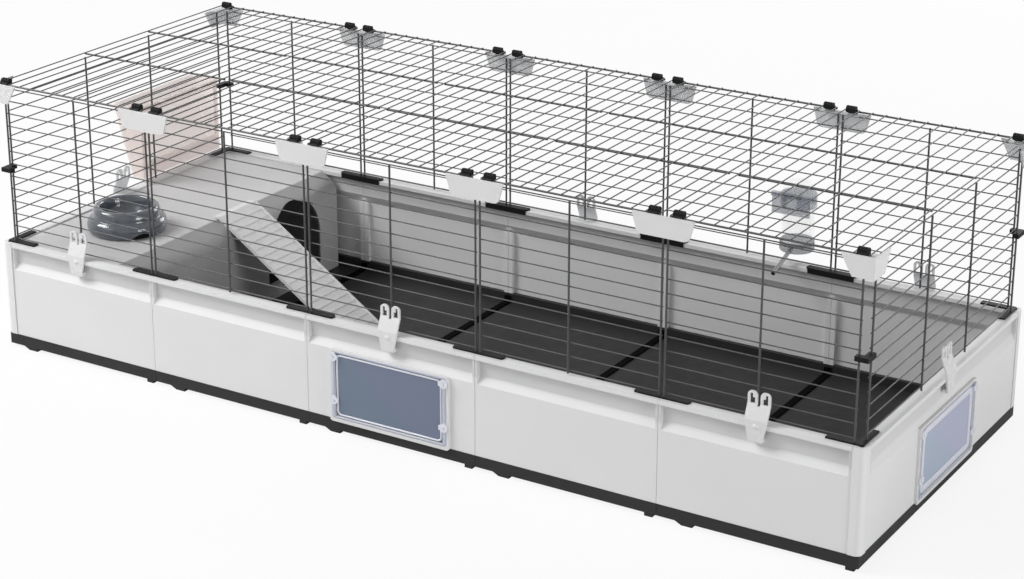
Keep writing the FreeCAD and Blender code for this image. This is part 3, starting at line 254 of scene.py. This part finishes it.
# Finishes
def add_node(tree, kind, sockets, **settings):
    """A node with its settings. Each named or numbered input is set to a value, or linked where
    the value is another node's socket."""
    node = tree.nodes.new(kind)
    for name, value in settings.items():
        setattr(node, name, value)
    for key, value in sockets.items():
        if isinstance(value, bpy.types.NodeSocket):
            tree.links.new(value, node.inputs[key])
        else:
            node.inputs[key].default_value = value
    return node


def blank_finish(name):
    """A material with its shader and the object's own coordinates."""
    material = bpy.data.materials.new(name)
    material.use_nodes = True
    tree = material.node_tree
    place = add_node(tree, "ShaderNodeTexCoord", {})
    return material, tree, tree.nodes["Principled BSDF"], place.outputs["Object"]


def noise(tree, place, scale, detail=4.0, stretch=None):
    """Cloudy values over the surface, finer with a larger scale, drawn out by a stretch."""
    if stretch:
        mapping = add_node(tree, "ShaderNodeMapping", {"Vector": place, "Scale": stretch})
        place = mapping.outputs["Vector"]
    sockets = {"Vector": place, "Scale": scale, "Detail": detail}
    return add_node(tree, "ShaderNodeTexNoise", sockets).outputs["Fac"]


def tint(tree, shader, value, colour, spread):
    """Base colour that wanders a little to both sides of the colour."""
    ramp = add_node(tree, "ShaderNodeValToRGB", {"Fac": value})
    dark, pale = ramp.color_ramp.elements
    dark.position, pale.position = CLOUD_LOW, CLOUD_HIGH
    dark.color = [max(c * (1 - spread), 0) for c in colour[:3]] + [1]
    pale.color = [min(c * (1 + spread), 1) for c in colour[:3]] + [1]
    tree.links.new(ramp.outputs["Color"], shader.inputs["Base Color"])


def mix_colours(tree, share, first, second, way="MIX"):
    """Colour between two others, or their product, by a share."""
    sockets = {MIX_SHARE: share, MIX_FIRST: first, MIX_SECOND: second}
    node = add_node(tree, "ShaderNodeMix", sockets, data_type="RGBA", blend_type=way)
    return node.outputs[MIX_RESULT]


def polish(tree, shader, value, low, high):
    """Roughness between two values."""
    sockets = {"Value": value, "From Min": CLOUD_LOW, "From Max": CLOUD_HIGH,
               "To Min": low, "To Max": high}
    spread = add_node(tree, "ShaderNodeMapRange", sockets)
    tree.links.new(spread.outputs["Result"], shader.inputs["Roughness"])


def grain(tree, shader, value, depth, strength, edge=0.0):
    """Fine relief of a given depth in metres, over edges softened to a given radius."""
    sockets = {"Height": value, "Distance": depth, "Strength": strength}
    if edge:
        soft = add_node(tree, "ShaderNodeBevel", {"Radius": edge}, samples=EDGE_SAMPLES)
        sockets["Normal"] = soft.outputs["Normal"]
    bump = add_node(tree, "ShaderNodeBump", sockets)
    tree.links.new(bump.outputs["Normal"], shader.inputs["Normal"])


def height_shade(tree, shader, place, shade_stops):
    """Painted shade by height: stops give heights above the ground and the share of the colour
    that is left there, joined by even slopes, and the base colour is darkened by them."""
    low, high = shade_stops[0][0], shade_stops[-1][0]
    parts = add_node(tree, "ShaderNodeSeparateXYZ", {"Vector": place})
    sockets = {"Value": parts.outputs["Z"], "From Min": low, "From Max": high}
    level = add_node(tree, "ShaderNodeMapRange", sockets)
    ramp = add_node(tree, "ShaderNodeValToRGB", {"Fac": level.outputs["Result"]})
    points = ramp.color_ramp.elements
    for index, (height, share) in enumerate(shade_stops):
        spot = (height - low) / (high - low)
        point = points[index] if index < len(points) else points.new(spot)
        point.position = spot
        point.color = (share, share, share, 1)
    plain = shader.inputs["Base Color"].links[0].from_socket
    toned = mix_colours(tree, 1.0, plain, ramp.outputs["Color"], "MULTIPLY")
    tree.links.new(toned, shader.inputs["Base Color"])


def moulded(name, colour, rough, grain_scale, grain_depth,
            spread=0.03, gloss=0.5, edge=0.001, shade_stops=None):
    """Moulded plastic: faint clouds in the colour, painted shade by height where stops are given,
    uneven polish, a fine grain and softened edges."""
    material, tree, shader, place = blank_finish(name)
    tint(tree, shader, noise(tree, place, scale=6.0), colour, spread)
    if shade_stops:
        height_shade(tree, shader, place, shade_stops)
    clouds = noise(tree, place, scale=35.0)
    polish(tree, shader, clouds, rough - MOULDED_BELOW, rough + MOULDED_ABOVE)
    grains = noise(tree, place, scale=grain_scale, detail=2.0)
    grain(tree, shader, grains, depth=grain_depth, strength=0.5, edge=edge)
    shader.inputs["Specular IOR Level"].default_value = gloss
    return material


def half_clear(name, colour, rough, cover, spread=0.04):
    """Milky or clear plastic: a cloudy tint that covers only a share of what lies behind it."""
    material, tree, shader, place = blank_finish(name)
    tint(tree, shader, noise(tree, place, scale=9.0), colour, spread)
    clouds = noise(tree, place, scale=30.0)
    polish(tree, shader, clouds, max(rough - CLEAR_BELOW, SMOOTHEST), rough + CLEAR_ABOVE)
    grains = noise(tree, place, scale=500.0, detail=2.0)
    grain(tree, shader, grains, depth=0.00003, strength=0.3)
    shader.inputs["Alpha"].default_value = cover
    return material


def smoked(name, colour, pale, side):
    """Smoked pane: a painted reflection of two close tints that meet along a slanted soft line, and
    pale eyelets where the surface stands further out than their limit."""
    material, tree, shader, place = blank_finish(name)
    parts = add_node(tree, "ShaderNodeSeparateXYZ", {"Vector": place})
    along, out, past = ("X", "Y", "LESS_THAN") if side == "front" else ("Y", "X", "GREATER_THAN")
    # Painted reflection: the tint changes across a slanted soft line
    sockets = {0: parts.outputs[along], 1: REFLECTION_SLANT, 2: parts.outputs["Z"]}
    slant = add_node(tree, "ShaderNodeMath", sockets, operation="MULTIPLY_ADD")
    sockets = {"Value": slant.outputs["Value"],
               "From Min": REFLECTION_LINE_LOW, "From Max": REFLECTION_LINE_HIGH}
    shade = add_node(tree, "ShaderNodeMapRange", sockets)
    reflection_tint = [c * share for c, share in zip(colour, REFLECTION_TINT_SHARES)]
    tints = mix_colours(tree, shade.outputs["Result"], (*reflection_tint, 1), (*colour, 1))
    sockets = {0: parts.outputs[out], 1: EYELET_LIMIT[side]}
    eyelet = add_node(tree, "ShaderNodeMath", sockets, operation=past)
    both = mix_colours(tree, eyelet.outputs["Value"], tints, (*pale, 1))
    tree.links.new(both, shader.inputs["Base Color"])
    polish(tree, shader, noise(tree, place, scale=30.0), low=0.1, high=0.2)
    grain(tree, shader, noise(tree, place, scale=40.0, detail=2.0), depth=0.0001, strength=0.1)
    return material


def coated_wire(name, colour):
    """Coated wire: almost black, satin, with the small runs and lumps of a dipped coat."""
    material, tree, shader, place = blank_finish(name)
    tint(tree, shader, noise(tree, place, scale=20.0), colour, spread=0.12)
    polish(tree, shader, noise(tree, place, scale=90.0), low=0.3, high=0.46)
    grain(tree, shader, noise(tree, place, scale=500.0, detail=3.0), depth=0.0002, strength=0.4)
    return material


def glazed(name, colour):
    """Thick glossy plastic under a clear coat, with a slow ripple."""
    material, tree, shader, place = blank_finish(name)
    tint(tree, shader, noise(tree, place, scale=14.0), colour, spread=0.1)
    polish(tree, shader, noise(tree, place, scale=50.0), low=0.1, high=0.17)
    grain(tree, shader, noise(tree, place, scale=60.0, detail=2.0), depth=0.0003, strength=0.12)
    shader.inputs["Coat Weight"].default_value = 0.6
    shader.inputs["Coat Roughness"].default_value = 0.05
    return material


def drawn_steel(name, colour):
    """Bright tube with fine lines along its length."""
    material, tree, shader, place = blank_finish(name)
    lines = noise(tree, place, scale=300.0, detail=2.0, stretch=(1.0, 0.1, 0.3))
    tint(tree, shader, lines, colour, spread=0.06)
    polish(tree, shader, lines, low=0.18, high=0.32)
    shader.inputs["Metallic"].default_value = 1.0
    return material


def dress(material, *names):
    """Gives CAD nodes their finish."""
    for name in names:
        slots = NODES[name].data.materials
        slots.clear()
        slots.append(material)


def finish_piece(piece, material, slot, body, *nodes):
    """Finish and body of a new piece, and hides the nodes it stands for. The slot is not used."""
    piece.data.materials.append(material)
    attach(piece, body)
    if nodes:
        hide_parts(*nodes)


# Settings
def colour_property(name, description, default):
    """A colour that a user may change."""
    return FloatVectorProperty(name=name, description=description, default=default,
                               subtype="COLOR", size=3, min=0, max=1)


def length_property(name, description, default):
    """A length that a user may change."""
    return FloatProperty(name=name, description=description, default=default,
                         unit="LENGTH", subtype="DISTANCE", min=0)


class CageColours(PropertyGroup):
    """Colours of the finishes"""
    wall: colour_property("Walls", "White wall panels and posts", (0.74, 0.74, 0.745))
    floor: colour_property("Floor", "Dark floor tray", (0.026, 0.025, 0.026))
    strip: colour_property("Strips", "Joint strips on the floor", (0.003, 0.003, 0.003))
    # The trim black is also the black of the pad under the bowl, a painted shadow
    trim: colour_property("Trim", "Black bars, ties and hooks", (0.010, 0.010, 0.011))
    wire: colour_property("Wire", "Coated wire of the meshes", (0.055, 0.054, 0.056))
    clip: colour_property("Clips", "White clips and window frames", (0.72, 0.715, 0.715))
    latch: colour_property("Latches", "White latches at the front and right", (0.72, 0.715, 0.72))
    clear_clip: colour_property("Back clips", "Milky clips and latches", (0.66, 0.675, 0.69))
    pane: colour_property("Front pane", "Smoked pane at the front", (0.16, 0.185, 0.268))
    side_pane: colour_property("Side pane", "Smoked pane at the right end", (0.42, 0.44, 0.585))
    eyelet: colour_property("Eyelets", "Pale eyelets and beads of the panes", (0.74, 0.75, 0.83))
    # Blue-grey of the flat groove strip: partly the groove's own tint, partly painted shade of the
    # recess
    groove: colour_property("Groove", "Groove between frame and pane", (0.52, 0.55, 0.64))
    house: colour_property("House", "House with its platform", (0.61, 0.605, 0.61))
    ramp: colour_property("Ramp", "Ramp of the house", (0.76, 0.755, 0.76))
    bowl: colour_property("Bowl", "Glossy food bowl", (0.085, 0.098, 0.118))
    rack: colour_property("Hay rack", "Half clear hay rack", (0.86, 0.75, 0.71))
    bottle: colour_property("Bottle", "Clear water bottle", (0.90, 0.92, 0.94))
    water: colour_property("Water", "Water in the bottle", (0.90, 0.93, 0.93))
    bracket: colour_property("Bracket", "Bottle bracket", (0.34, 0.365, 0.42))
    cap: colour_property("Cap", "Bottle cap", (0.30, 0.31, 0.33))
    steel: colour_property("Steel", "Drinking tube", (0.36, 0.36, 0.37))


class CageSizes(PropertyGroup):
    """Sizes of the pieces made here"""
    bead_width: length_property("Bead width", "Bead round the front pane", 0.0036)
    side_bead_width: length_property("Side bead width", "Bead round the right pane", 0.012)
    bead_rise: length_property("Bead rise", "Height of the bead round a pane", 0.0016)
    bead_inset: length_property("Bead inset", "Bead from the edge of a pane", 0.0012)
    groove_sheet: length_property("Groove sheet", "Half the thickness of the groove strip", 0.0002)
    groove_width: length_property("Groove width", "Width of the groove strip at the sides", 0.0078)
    boss_width: length_property("Boss width", "Width of the boss on a latch", 0.013)
    boss_rise: length_property("Boss rise", "Height of the boss on a latch", 0.0022)
    boss_drop: length_property("Boss drop", "Boss below the tip of a latch", 0.056)
    notch_rise: length_property("Notch", "Height of the finger notch under the bowl", 0.0125)
    bottle_wall: length_property("Bottle wall", "Thickness of the bottle wall", 0.0015)
    floor_reach: length_property("Stage", "Reach of the studio floor", 40.0)


# Pieces
class CAGE_OT_walls(Operator):
    """White moulded wall panels and corner posts"""
    bl_idname = "cage.walls"
    bl_label = "Walls"
    finish = {"rough": 0.38, "grain_scale": 900.0, "grain_depth": 0.00004, "spread": 0.012,
              "gloss": 0.4, "edge": 0.0018}

    def execute(self, context):
        colour = context.scene.cage_colours.wall
        # The walls carry painted shade in the channel under their rim
        white = moulded("wall_plastic", colour, **self.finish, shade_stops=WALL_SHADE_STOPS)
        dress(white, *[f"front_wall_{bay}" for bay in BAYS],
              "back_walls", "left_end_wall", "right_end_wall")
        dress(moulded("post_plastic", colour, **self.finish), "corner_posts")
        return {"FINISHED"}


class CAGE_OT_floor(Operator):
    """Dark floor tray and its joint strips"""
    bl_idname = "cage.floor"
    bl_label = "Floor tray"

    def execute(self, context):
        colours = context.scene.cage_colours
        tray = moulded("tray_plastic", colours.floor, rough=0.5, grain_scale=1100.0,
                       grain_depth=0.0001, spread=0.12, gloss=0.25)
        strip = moulded("strip_plastic", colours.strip, rough=0.75, grain_scale=1100.0,
                        grain_depth=0.00008, spread=0.15, gloss=0.03)
        dress(tray, *[f"floor_module_{bay}" for bay in BAYS])
        dress(strip, "floor_joint_strips")
        return {"FINISHED"}


class CAGE_OT_wires(Operator):
    """Coated wire of the side meshes and the roof meshes"""
    bl_idname = "cage.wires"
    bl_label = "Wire meshes"

    def execute(self, context):
        coat = coated_wire("wire_coat", context.scene.cage_colours.wire)
        dress(coat, *[f"{side}_mesh_{bay}" for side in ("front", "roof") for bay in BAYS],
              "back_meshes", "left_end_mesh", "right_end_mesh")
        return {"FINISHED"}


class CAGE_OT_trim(Operator):
    """Black rim bars, brackets, ties and roof hooks"""
    bl_idname = "cage.trim"
    bl_label = "Black trim"

    def execute(self, context):
        black = moulded("trim_plastic", context.scene.cage_colours.trim, rough=0.5,
                        grain_scale=800.0, grain_depth=0.00006, spread=0.15, gloss=0.12)
        dress(black, *[f"roof_hooks_{bay}" for bay in BAYS],
              "rim_joint_bars", "rim_corner_brackets", "corner_ties")
        return {"FINISHED"}


class CAGE_OT_clips(Operator):
    """Top clips, white at the front and milky at the back"""
    bl_idname = "cage.clips"
    bl_label = "Top clips"

    def execute(self, context):
        colours = context.scene.cage_colours
        white = moulded("clip_plastic", colours.clip, rough=0.32, grain_scale=900.0,
                        grain_depth=0.00002, spread=0.01)
        dress(white, "front_top_clips")
        dress(half_clear("milky_clip", colours.clear_clip, rough=0.3, cover=0.62), "back_top_clips")
        return {"FINISHED"}


class CAGE_OT_latches(Operator):
    """Latch clips of the wire meshes, each with a raised boss on its foot"""
    bl_idname = "cage.latches"
    bl_label = "Latches"

    def execute(self, context):
        colours = context.scene.cage_colours
        white = moulded("latch_plastic", colours.latch, rough=0.26, grain_scale=900.0,
                        grain_depth=0.00002, spread=0.01)
        milky = half_clear("milky_latch", colours.clear_clip, rough=0.28, cover=0.66)
        names = [f"{side}_latch_{bay}" for side in ("front", "back") for bay in LATCH_BAYS]
        for name in names + ["left_latch", "right_latch"]:
            finish = white if name.startswith(("front", "right")) else milky
            dress(finish, name)
            finish_piece(self.boss(context.scene.cage_sizes, name), finish, "clip_white", name)
        return {"FINISHED"}

    def boss(self, sizes, name):
        """A low oval dome: radius and height follow a quarter ellipse, and the oval is a third less
        high than wide. It stands on the outer face of the latch, sunk in by a share of its rise."""
        turn = np.linspace(0, np.pi / 2, BOSS_RISE_STEPS)
        dome = np.stack([np.cos(turn) * sizes.boss_width / 2, np.sin(turn) * sizes.boss_rise], -1)
        dome = np.vstack([(0, 0), dome]) - (0, sizes.boss_rise * BOSS_SINK_SHARE)
        grid = lathe(dome, BOSS_TURN_STEPS) * BOSS_SQUEEZE
        low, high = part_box(name)
        middle = ((low.x + high.x) / 2, (low.y + high.y) / 2, high.z - sizes.boss_drop)
        across = ALONG_RIM[name.split("_")[0]]
        out = np.cross(across, UPWARD)
        face = np.where(out > 0, high, np.where(out < 0, low, middle))
        return put_grid(f"{name}_boss", set_on(grid, face, across, UPWARD))


class CAGE_OT_windows(Operator):
    """Window frames, their smoked panes and the bead and groove round each pane"""
    bl_idname = "cage.windows"
    bl_label = "Windows"

    def execute(self, context):
        colours, sizes = context.scene.cage_colours, context.scene.cage_sizes
        white = moulded("frame_plastic", colours.clip, rough=0.3, grain_scale=900.0,
                        grain_depth=0.00002, spread=0.01)
        pale = half_clear("bead_plastic", colours.eyelet, rough=0.16, cover=0.92)
        # The groove strip's blue-grey is partly the groove's own tint and partly painted shade of
        # the recess
        groove = half_clear("groove_tint_and_shade", colours.groove, rough=0.2, cover=0.9)
        panes = (("front", colours.pane, sizes.bead_width),
                 ("right", colours.side_pane, sizes.side_bead_width))
        for side, colour, width in panes:
            dress(white, f"{side}_window_frame")
            pane = smoked(f"{side}_pane_plastic", colour, colours.eyelet, side)
            dress(pane, f"{side}_window_pane")
            finish_piece(self.bead(sizes, side, width), pale, "pane_blue", f"{side}_window_pane")
            finish_piece(self.groove(sizes, side), groove, "pane_blue", "cage")
        return {"FINISHED"}

    def on_side(self, name, grid, side, reach):
        """A piece from a grid laid round the middle of a window, so far from the cage's middle."""
        across = ALONG_RIM[side]
        place = np.cross(across, UPWARD) * reach + np.array(UPWARD) * PANE_LEVEL
        return put_grid(f"{side}_{name}", set_on(grid, place, across, UPWARD), True)

    def bead(self, sizes, side, width):
        """Half-round bead: half an ellipse with a flat back, carried round the pane."""
        turn = np.linspace(0, 2 * np.pi, BEAD_STEPS, endpoint=False)
        spread = np.cos(turn) * width / 2
        rise = np.maximum(np.sin(turn), BEAD_BACK_SHARE) * sizes.bead_rise
        inset = sizes.bead_inset + width / 2
        section = np.stack([spread, rise], -1)
        grid = loop_bead(PANE_HALF - inset, PANE_RISE - inset, BEAD_CORNER, section)
        return self.on_side("pane_bead", grid, side, PANE_FACE[side])

    def groove(self, sizes, side):
        """Flat strip on the frame between two rounded rectangles: the inner one is the hole of
        the frame, the outer one is larger by the width at the sides and by half of it above and
        below. Its blue-grey is partly the groove's own tint and partly painted shade of the recess."""
        sheet, width = sizes.groove_sheet, sizes.groove_width
        inner = rounded_loop(FRAME_HOLE_HALF, FRAME_HOLE_RISE, GROOVE_INNER_CORNER)
        outer = rounded_loop(FRAME_HOLE_HALF + width, FRAME_HOLE_RISE + width / 2,
                             GROOVE_OUTER_CORNER)
        loops = np.stack([inner, outer, outer, inner])
        rises = np.reshape([-sheet, -sheet, sheet, sheet], (4, 1, 1)) + np.zeros((len(inner), 1))
        grid = np.concatenate([loops, rises], -1)
        return self.on_side("frame_groove", grid, side, FRAME_FACE[side])


class CAGE_OT_house(Operator):
    """House with its platform, and the ramp"""
    bl_idname = "cage.house"
    bl_label = "House and ramp"

    def execute(self, context):
        colours = context.scene.cage_colours
        # The house carries painted shade on its sides below the platform top
        house = moulded("house_plastic", colours.house, rough=0.45, grain_scale=700.0,
                        grain_depth=0.0001, spread=0.04, shade_stops=HOUSE_SHADE_STOPS)
        ramp = moulded("ramp_plastic", colours.ramp, rough=0.42, grain_scale=700.0,
                       grain_depth=0.0001)
        dress(house, "house")
        dress(ramp, "ramp")
        return {"FINISHED"}


class CAGE_OT_bowl(Operator):
    """Glossy food bowl on the platform, with a black pad under it that paints the shadow seen
    through its notch
    """
    bl_idname = "cage.bowl"
    bl_label = "Bowl"

    def execute(self, context):
        colours, rise = context.scene.cage_colours, context.scene.cage_sizes.notch_rise
        centre, radius, height = turned_place("bowl")
        section = smooth_curve(np.array(BOWL_OUTLINE) * (radius, height), BOWL_CURVE_STEPS)
        grid = lathe(np.maximum(section, 0), BOWL_TURN_STEPS)
        grid = grid_notch(grid, NOTCH_TURN, NOTCH_HALF_WIDTH, rise)
        bowl = put_grid("bowl_glazed", grid + centre)
        finish_piece(bowl, glazed("bowl_gloss", colours.bowl), "bowl_slate", "cage", "bowl")
        # A black pad under the bowl paints the shadow inside its notch
        pad = np.array(SHADOW_PAD_OUTLINE) * (radius * SHADOW_PAD_SHARE, rise)
        foot = put_grid("bowl_shadow_pad", lathe(pad, ROUND_STEPS) + centre)
        black = moulded("bowl_shadow_black", colours.trim, rough=0.7, grain_scale=900.0,
                        grain_depth=0.00004, spread=0.1, gloss=0.1)
        finish_piece(foot, black, "bowl_slate", "cage")
        return {"FINISHED"}


class CAGE_OT_hay_rack(Operator):
    """Half clear hay rack on the end mesh"""
    bl_idname = "cage.hay_rack"
    bl_label = "Hay rack"

    def execute(self, context):
        milky = half_clear("rack_plastic", context.scene.cage_colours.rack, rough=0.22, cover=0.41)
        dress(milky, "hay_rack")
        return {"FINISHED"}


class CAGE_OT_bottle(Operator):
    """Water bottle with its cap, drinking tube and bracket"""
    bl_idname = "cage.bottle"
    bl_label = "Water bottle"

    def execute(self, context):
        colours = context.scene.cage_colours
        self.bottle(colours, context.scene.cage_sizes.bottle_wall)
        self.cap(colours)
        milky = half_clear("bracket_plastic", colours.bracket, rough=0.22, cover=0.5)
        dress(milky, "bottle_bracket")
        dress(drawn_steel("tube_steel", colours.steel), "spout")
        return {"FINISHED"}

    def bottle(self, colours, wall):
        """Bottle turned from its smoothed section, and its water: the same section cut off at the
        water level and drawn in by the wall."""
        centre, radius, height = turned_place("bottle")
        section = smooth_curve(np.array(BOTTLE_OUTLINE) * (radius, height), BOTTLE_CURVE_STEPS)
        section = np.maximum(section, 0)
        skin = put_grid("bottle_blown", lathe(section, ROUND_STEPS) + centre)
        clear = half_clear("bottle_plastic", colours.bottle, rough=0.06, cover=0.1, spread=0.01)
        finish_piece(skin, clear, "bottle_clear", "cage", "bottle")
        fill = np.minimum(section, (radius - 2 * wall, height * WATER_SHARE))
        fill = np.maximum(fill - (wall, 0), (0, wall))
        water = put_grid("bottle_water", lathe(fill, ROUND_STEPS) + centre)
        clear = half_clear("water", colours.water, rough=0.04, cover=0.05, spread=0.01)
        finish_piece(water, clear, "bottle_clear", "cage")

    def cap(self, colours):
        """Ribbed cap: a turned cup whose wall swells and shrinks with the ribs along its side."""
        centre, radius, height = turned_place("bottle_cap")
        section = np.array(CAP_OUTLINE) * (radius, height, CAP_RIB_DEPTH)
        grid = lathe(section[:, :2], CAP_TURN_STEPS, CAP_RIBS, section[:, 2])
        cup = put_grid("bottle_cap_ribbed", grid + centre)
        milky = half_clear("cap_plastic", colours.cap, rough=0.3, cover=0.6)
        finish_piece(cup, milky, "bracket_grey", "cage", "bottle_cap")


class CAGE_OT_stage(Operator):
    """Pale floor, soft studio light and the camera"""
    bl_idname = "cage.stage"
    bl_label = "Stage"

    def execute(self, context):
        scene = context.scene
        reach = scene.cage_sizes.floor_reach
        corners = np.array([(-1, -1, 0), (1, -1, 0), (1, 1, 0), (-1, 1, 0)]) * reach
        quad = np.arange(4)[None]
        ground = put_mesh("stage_floor", corners, quad, smooth=False, closed=False)
        ground.data.materials.append(self.ground_finish())
        self.light_world(scene)
        for name, setting in LAMPS.items():
            self.lamp(scene, name, *setting)
        self.photo_camera(scene)
        scene.view_settings.view_transform = "Standard"
        return {"FINISHED"}

    def ground_finish(self):
        """Pale floor that keeps the shadow of the cage, brightened to white for the camera."""
        material = bpy.data.materials.new("stage_floor")
        material.use_nodes = True
        tree = material.node_tree
        shader = tree.nodes["Principled BSDF"]
        shader.inputs["Base Color"].default_value = GROUND_COLOUR
        shader.inputs["Roughness"].default_value = 0.9
        shader.inputs["Specular IOR Level"].default_value = 0.1
        glow = add_node(tree, "ShaderNodeEmission", {"Color": WHITE})
        path = add_node(tree, "ShaderNodeLightPath", {})
        sockets = {0: path.outputs["Is Camera Ray"], 1: GROUND_GLOW}
        seen = add_node(tree, "ShaderNodeMath", sockets, operation="MULTIPLY")
        sockets = {"Fac": seen.outputs["Value"],
                   1: shader.outputs["BSDF"], 2: glow.outputs["Emission"]}
        mix = add_node(tree, "ShaderNodeMixShader", sockets)
        tree.links.new(mix.outputs["Shader"], tree.nodes["Material Output"].inputs["Surface"])
        return material

    def light_world(self, scene):
        """Soft light from all round, white where the camera, a gloss or a clear piece sees it."""
        scene.world = bpy.data.worlds.new("studio")
        scene.world.use_nodes = True
        tree = scene.world.node_tree
        soft = tree.nodes["Background"]
        soft.inputs["Color"].default_value = WHITE
        soft.inputs["Strength"].default_value = WORLD_LIGHT
        white = add_node(tree, "ShaderNodeBackground", {"Color": WHITE, "Strength": 1.0})
        path = add_node(tree, "ShaderNodeLightPath", {})
        rays = path.outputs["Is Camera Ray"]
        for name in ("Is Glossy Ray", "Is Transmission Ray"):
            sockets = {0: rays, 1: path.outputs[name]}
            either = add_node(tree, "ShaderNodeMath", sockets, operation="MAXIMUM")
            rays = either.outputs["Value"]
        sockets = {"Fac": rays, 1: soft.outputs["Background"], 2: white.outputs["Background"]}
        mix = add_node(tree, "ShaderNodeMixShader", sockets)
        tree.links.new(mix.outputs["Shader"], tree.nodes["World Output"].inputs["Surface"])

    def lamp(self, scene, name, place, aim, size, power):
        """A round soft lamp aimed at a point."""
        data = bpy.data.lights.new(name, "AREA")
        data.shape = "DISK"
        data.size = size
        data.energy = power
        lamp = bpy.data.objects.new(name, data)
        lamp.location = place
        lamp.rotation_euler = (Vector(aim) - Vector(place)).to_track_quat("-Z", "Y").to_euler()
        scene.collection.objects.link(lamp)

    def photo_camera(self, scene):
        """The camera at the photo's angle."""
        camera = bpy.data.objects.new("photo_camera", bpy.data.cameras.new("photo_camera"))
        scene.collection.objects.link(camera)
        camera.data.lens = CAMERA_LENS
        camera.data.sensor_width = CAMERA_SENSOR
        camera.data.shift_y = CAMERA_SHIFT
        camera.data.clip_end = CAMERA_REACH
        turn = Matrix((CAMERA_RIGHT, CAMERA_UP, CAMERA_BACK)).transposed().to_4x4()
        camera.matrix_world = Matrix.Translation(CAMERA_PLACE) @ turn
        scene.camera = camera


OPERATORS = (
    CAGE_OT_walls, CAGE_OT_floor, CAGE_OT_wires, CAGE_OT_trim, CAGE_OT_clips, CAGE_OT_latches,
    CAGE_OT_windows, CAGE_OT_house, CAGE_OT_bowl, CAGE_OT_hay_rack, CAGE_OT_bottle, CAGE_OT_stage,
)


class CAGE_PT_panel(Panel):
    """Lists the settings and the pieces of the cage"""
    bl_idname = "CAGE_PT_panel"
    bl_label = "Cage"
    bl_space_type = "VIEW_3D"
    bl_region_type = "UI"
    bl_category = "Cage"

    def draw(self, context):
        for settings in (context.scene.cage_colours, context.scene.cage_sizes):
            for name in settings.__annotations__:
                self.layout.prop(settings, name)
        for operator in OPERATORS:
            self.layout.operator(operator.bl_idname)


CLASSES = (CageColours, CageSizes) + OPERATORS + (CAGE_PT_panel,)


def register():
    """Adds the classes and the settings."""
    for cls in CLASSES:
        bpy.utils.register_class(cls)
    bpy.types.Scene.cage_colours = PointerProperty(type=CageColours)
    bpy.types.Scene.cage_sizes = PointerProperty(type=CageSizes)


def unregister():
    """Takes the settings and the classes away."""
    del bpy.types.Scene.cage_sizes
    del bpy.types.Scene.cage_colours
    for cls in reversed(CLASSES):
        bpy.utils.unregister_class(cls)


def main():
    """Registers the classes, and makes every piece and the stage."""
    register()
    bpy.ops.cage.walls()
    bpy.ops.cage.floor()
    bpy.ops.cage.wires()
    bpy.ops.cage.trim()
    bpy.ops.cage.clips()
    bpy.ops.cage.latches()
    bpy.ops.cage.windows()
    bpy.ops.cage.house()
    bpy.ops.cage.bowl()
    bpy.ops.cage.hay_rack()
    bpy.ops.cage.bottle()
    bpy.ops.cage.stage()


if __name__ == "__main__":
    main()
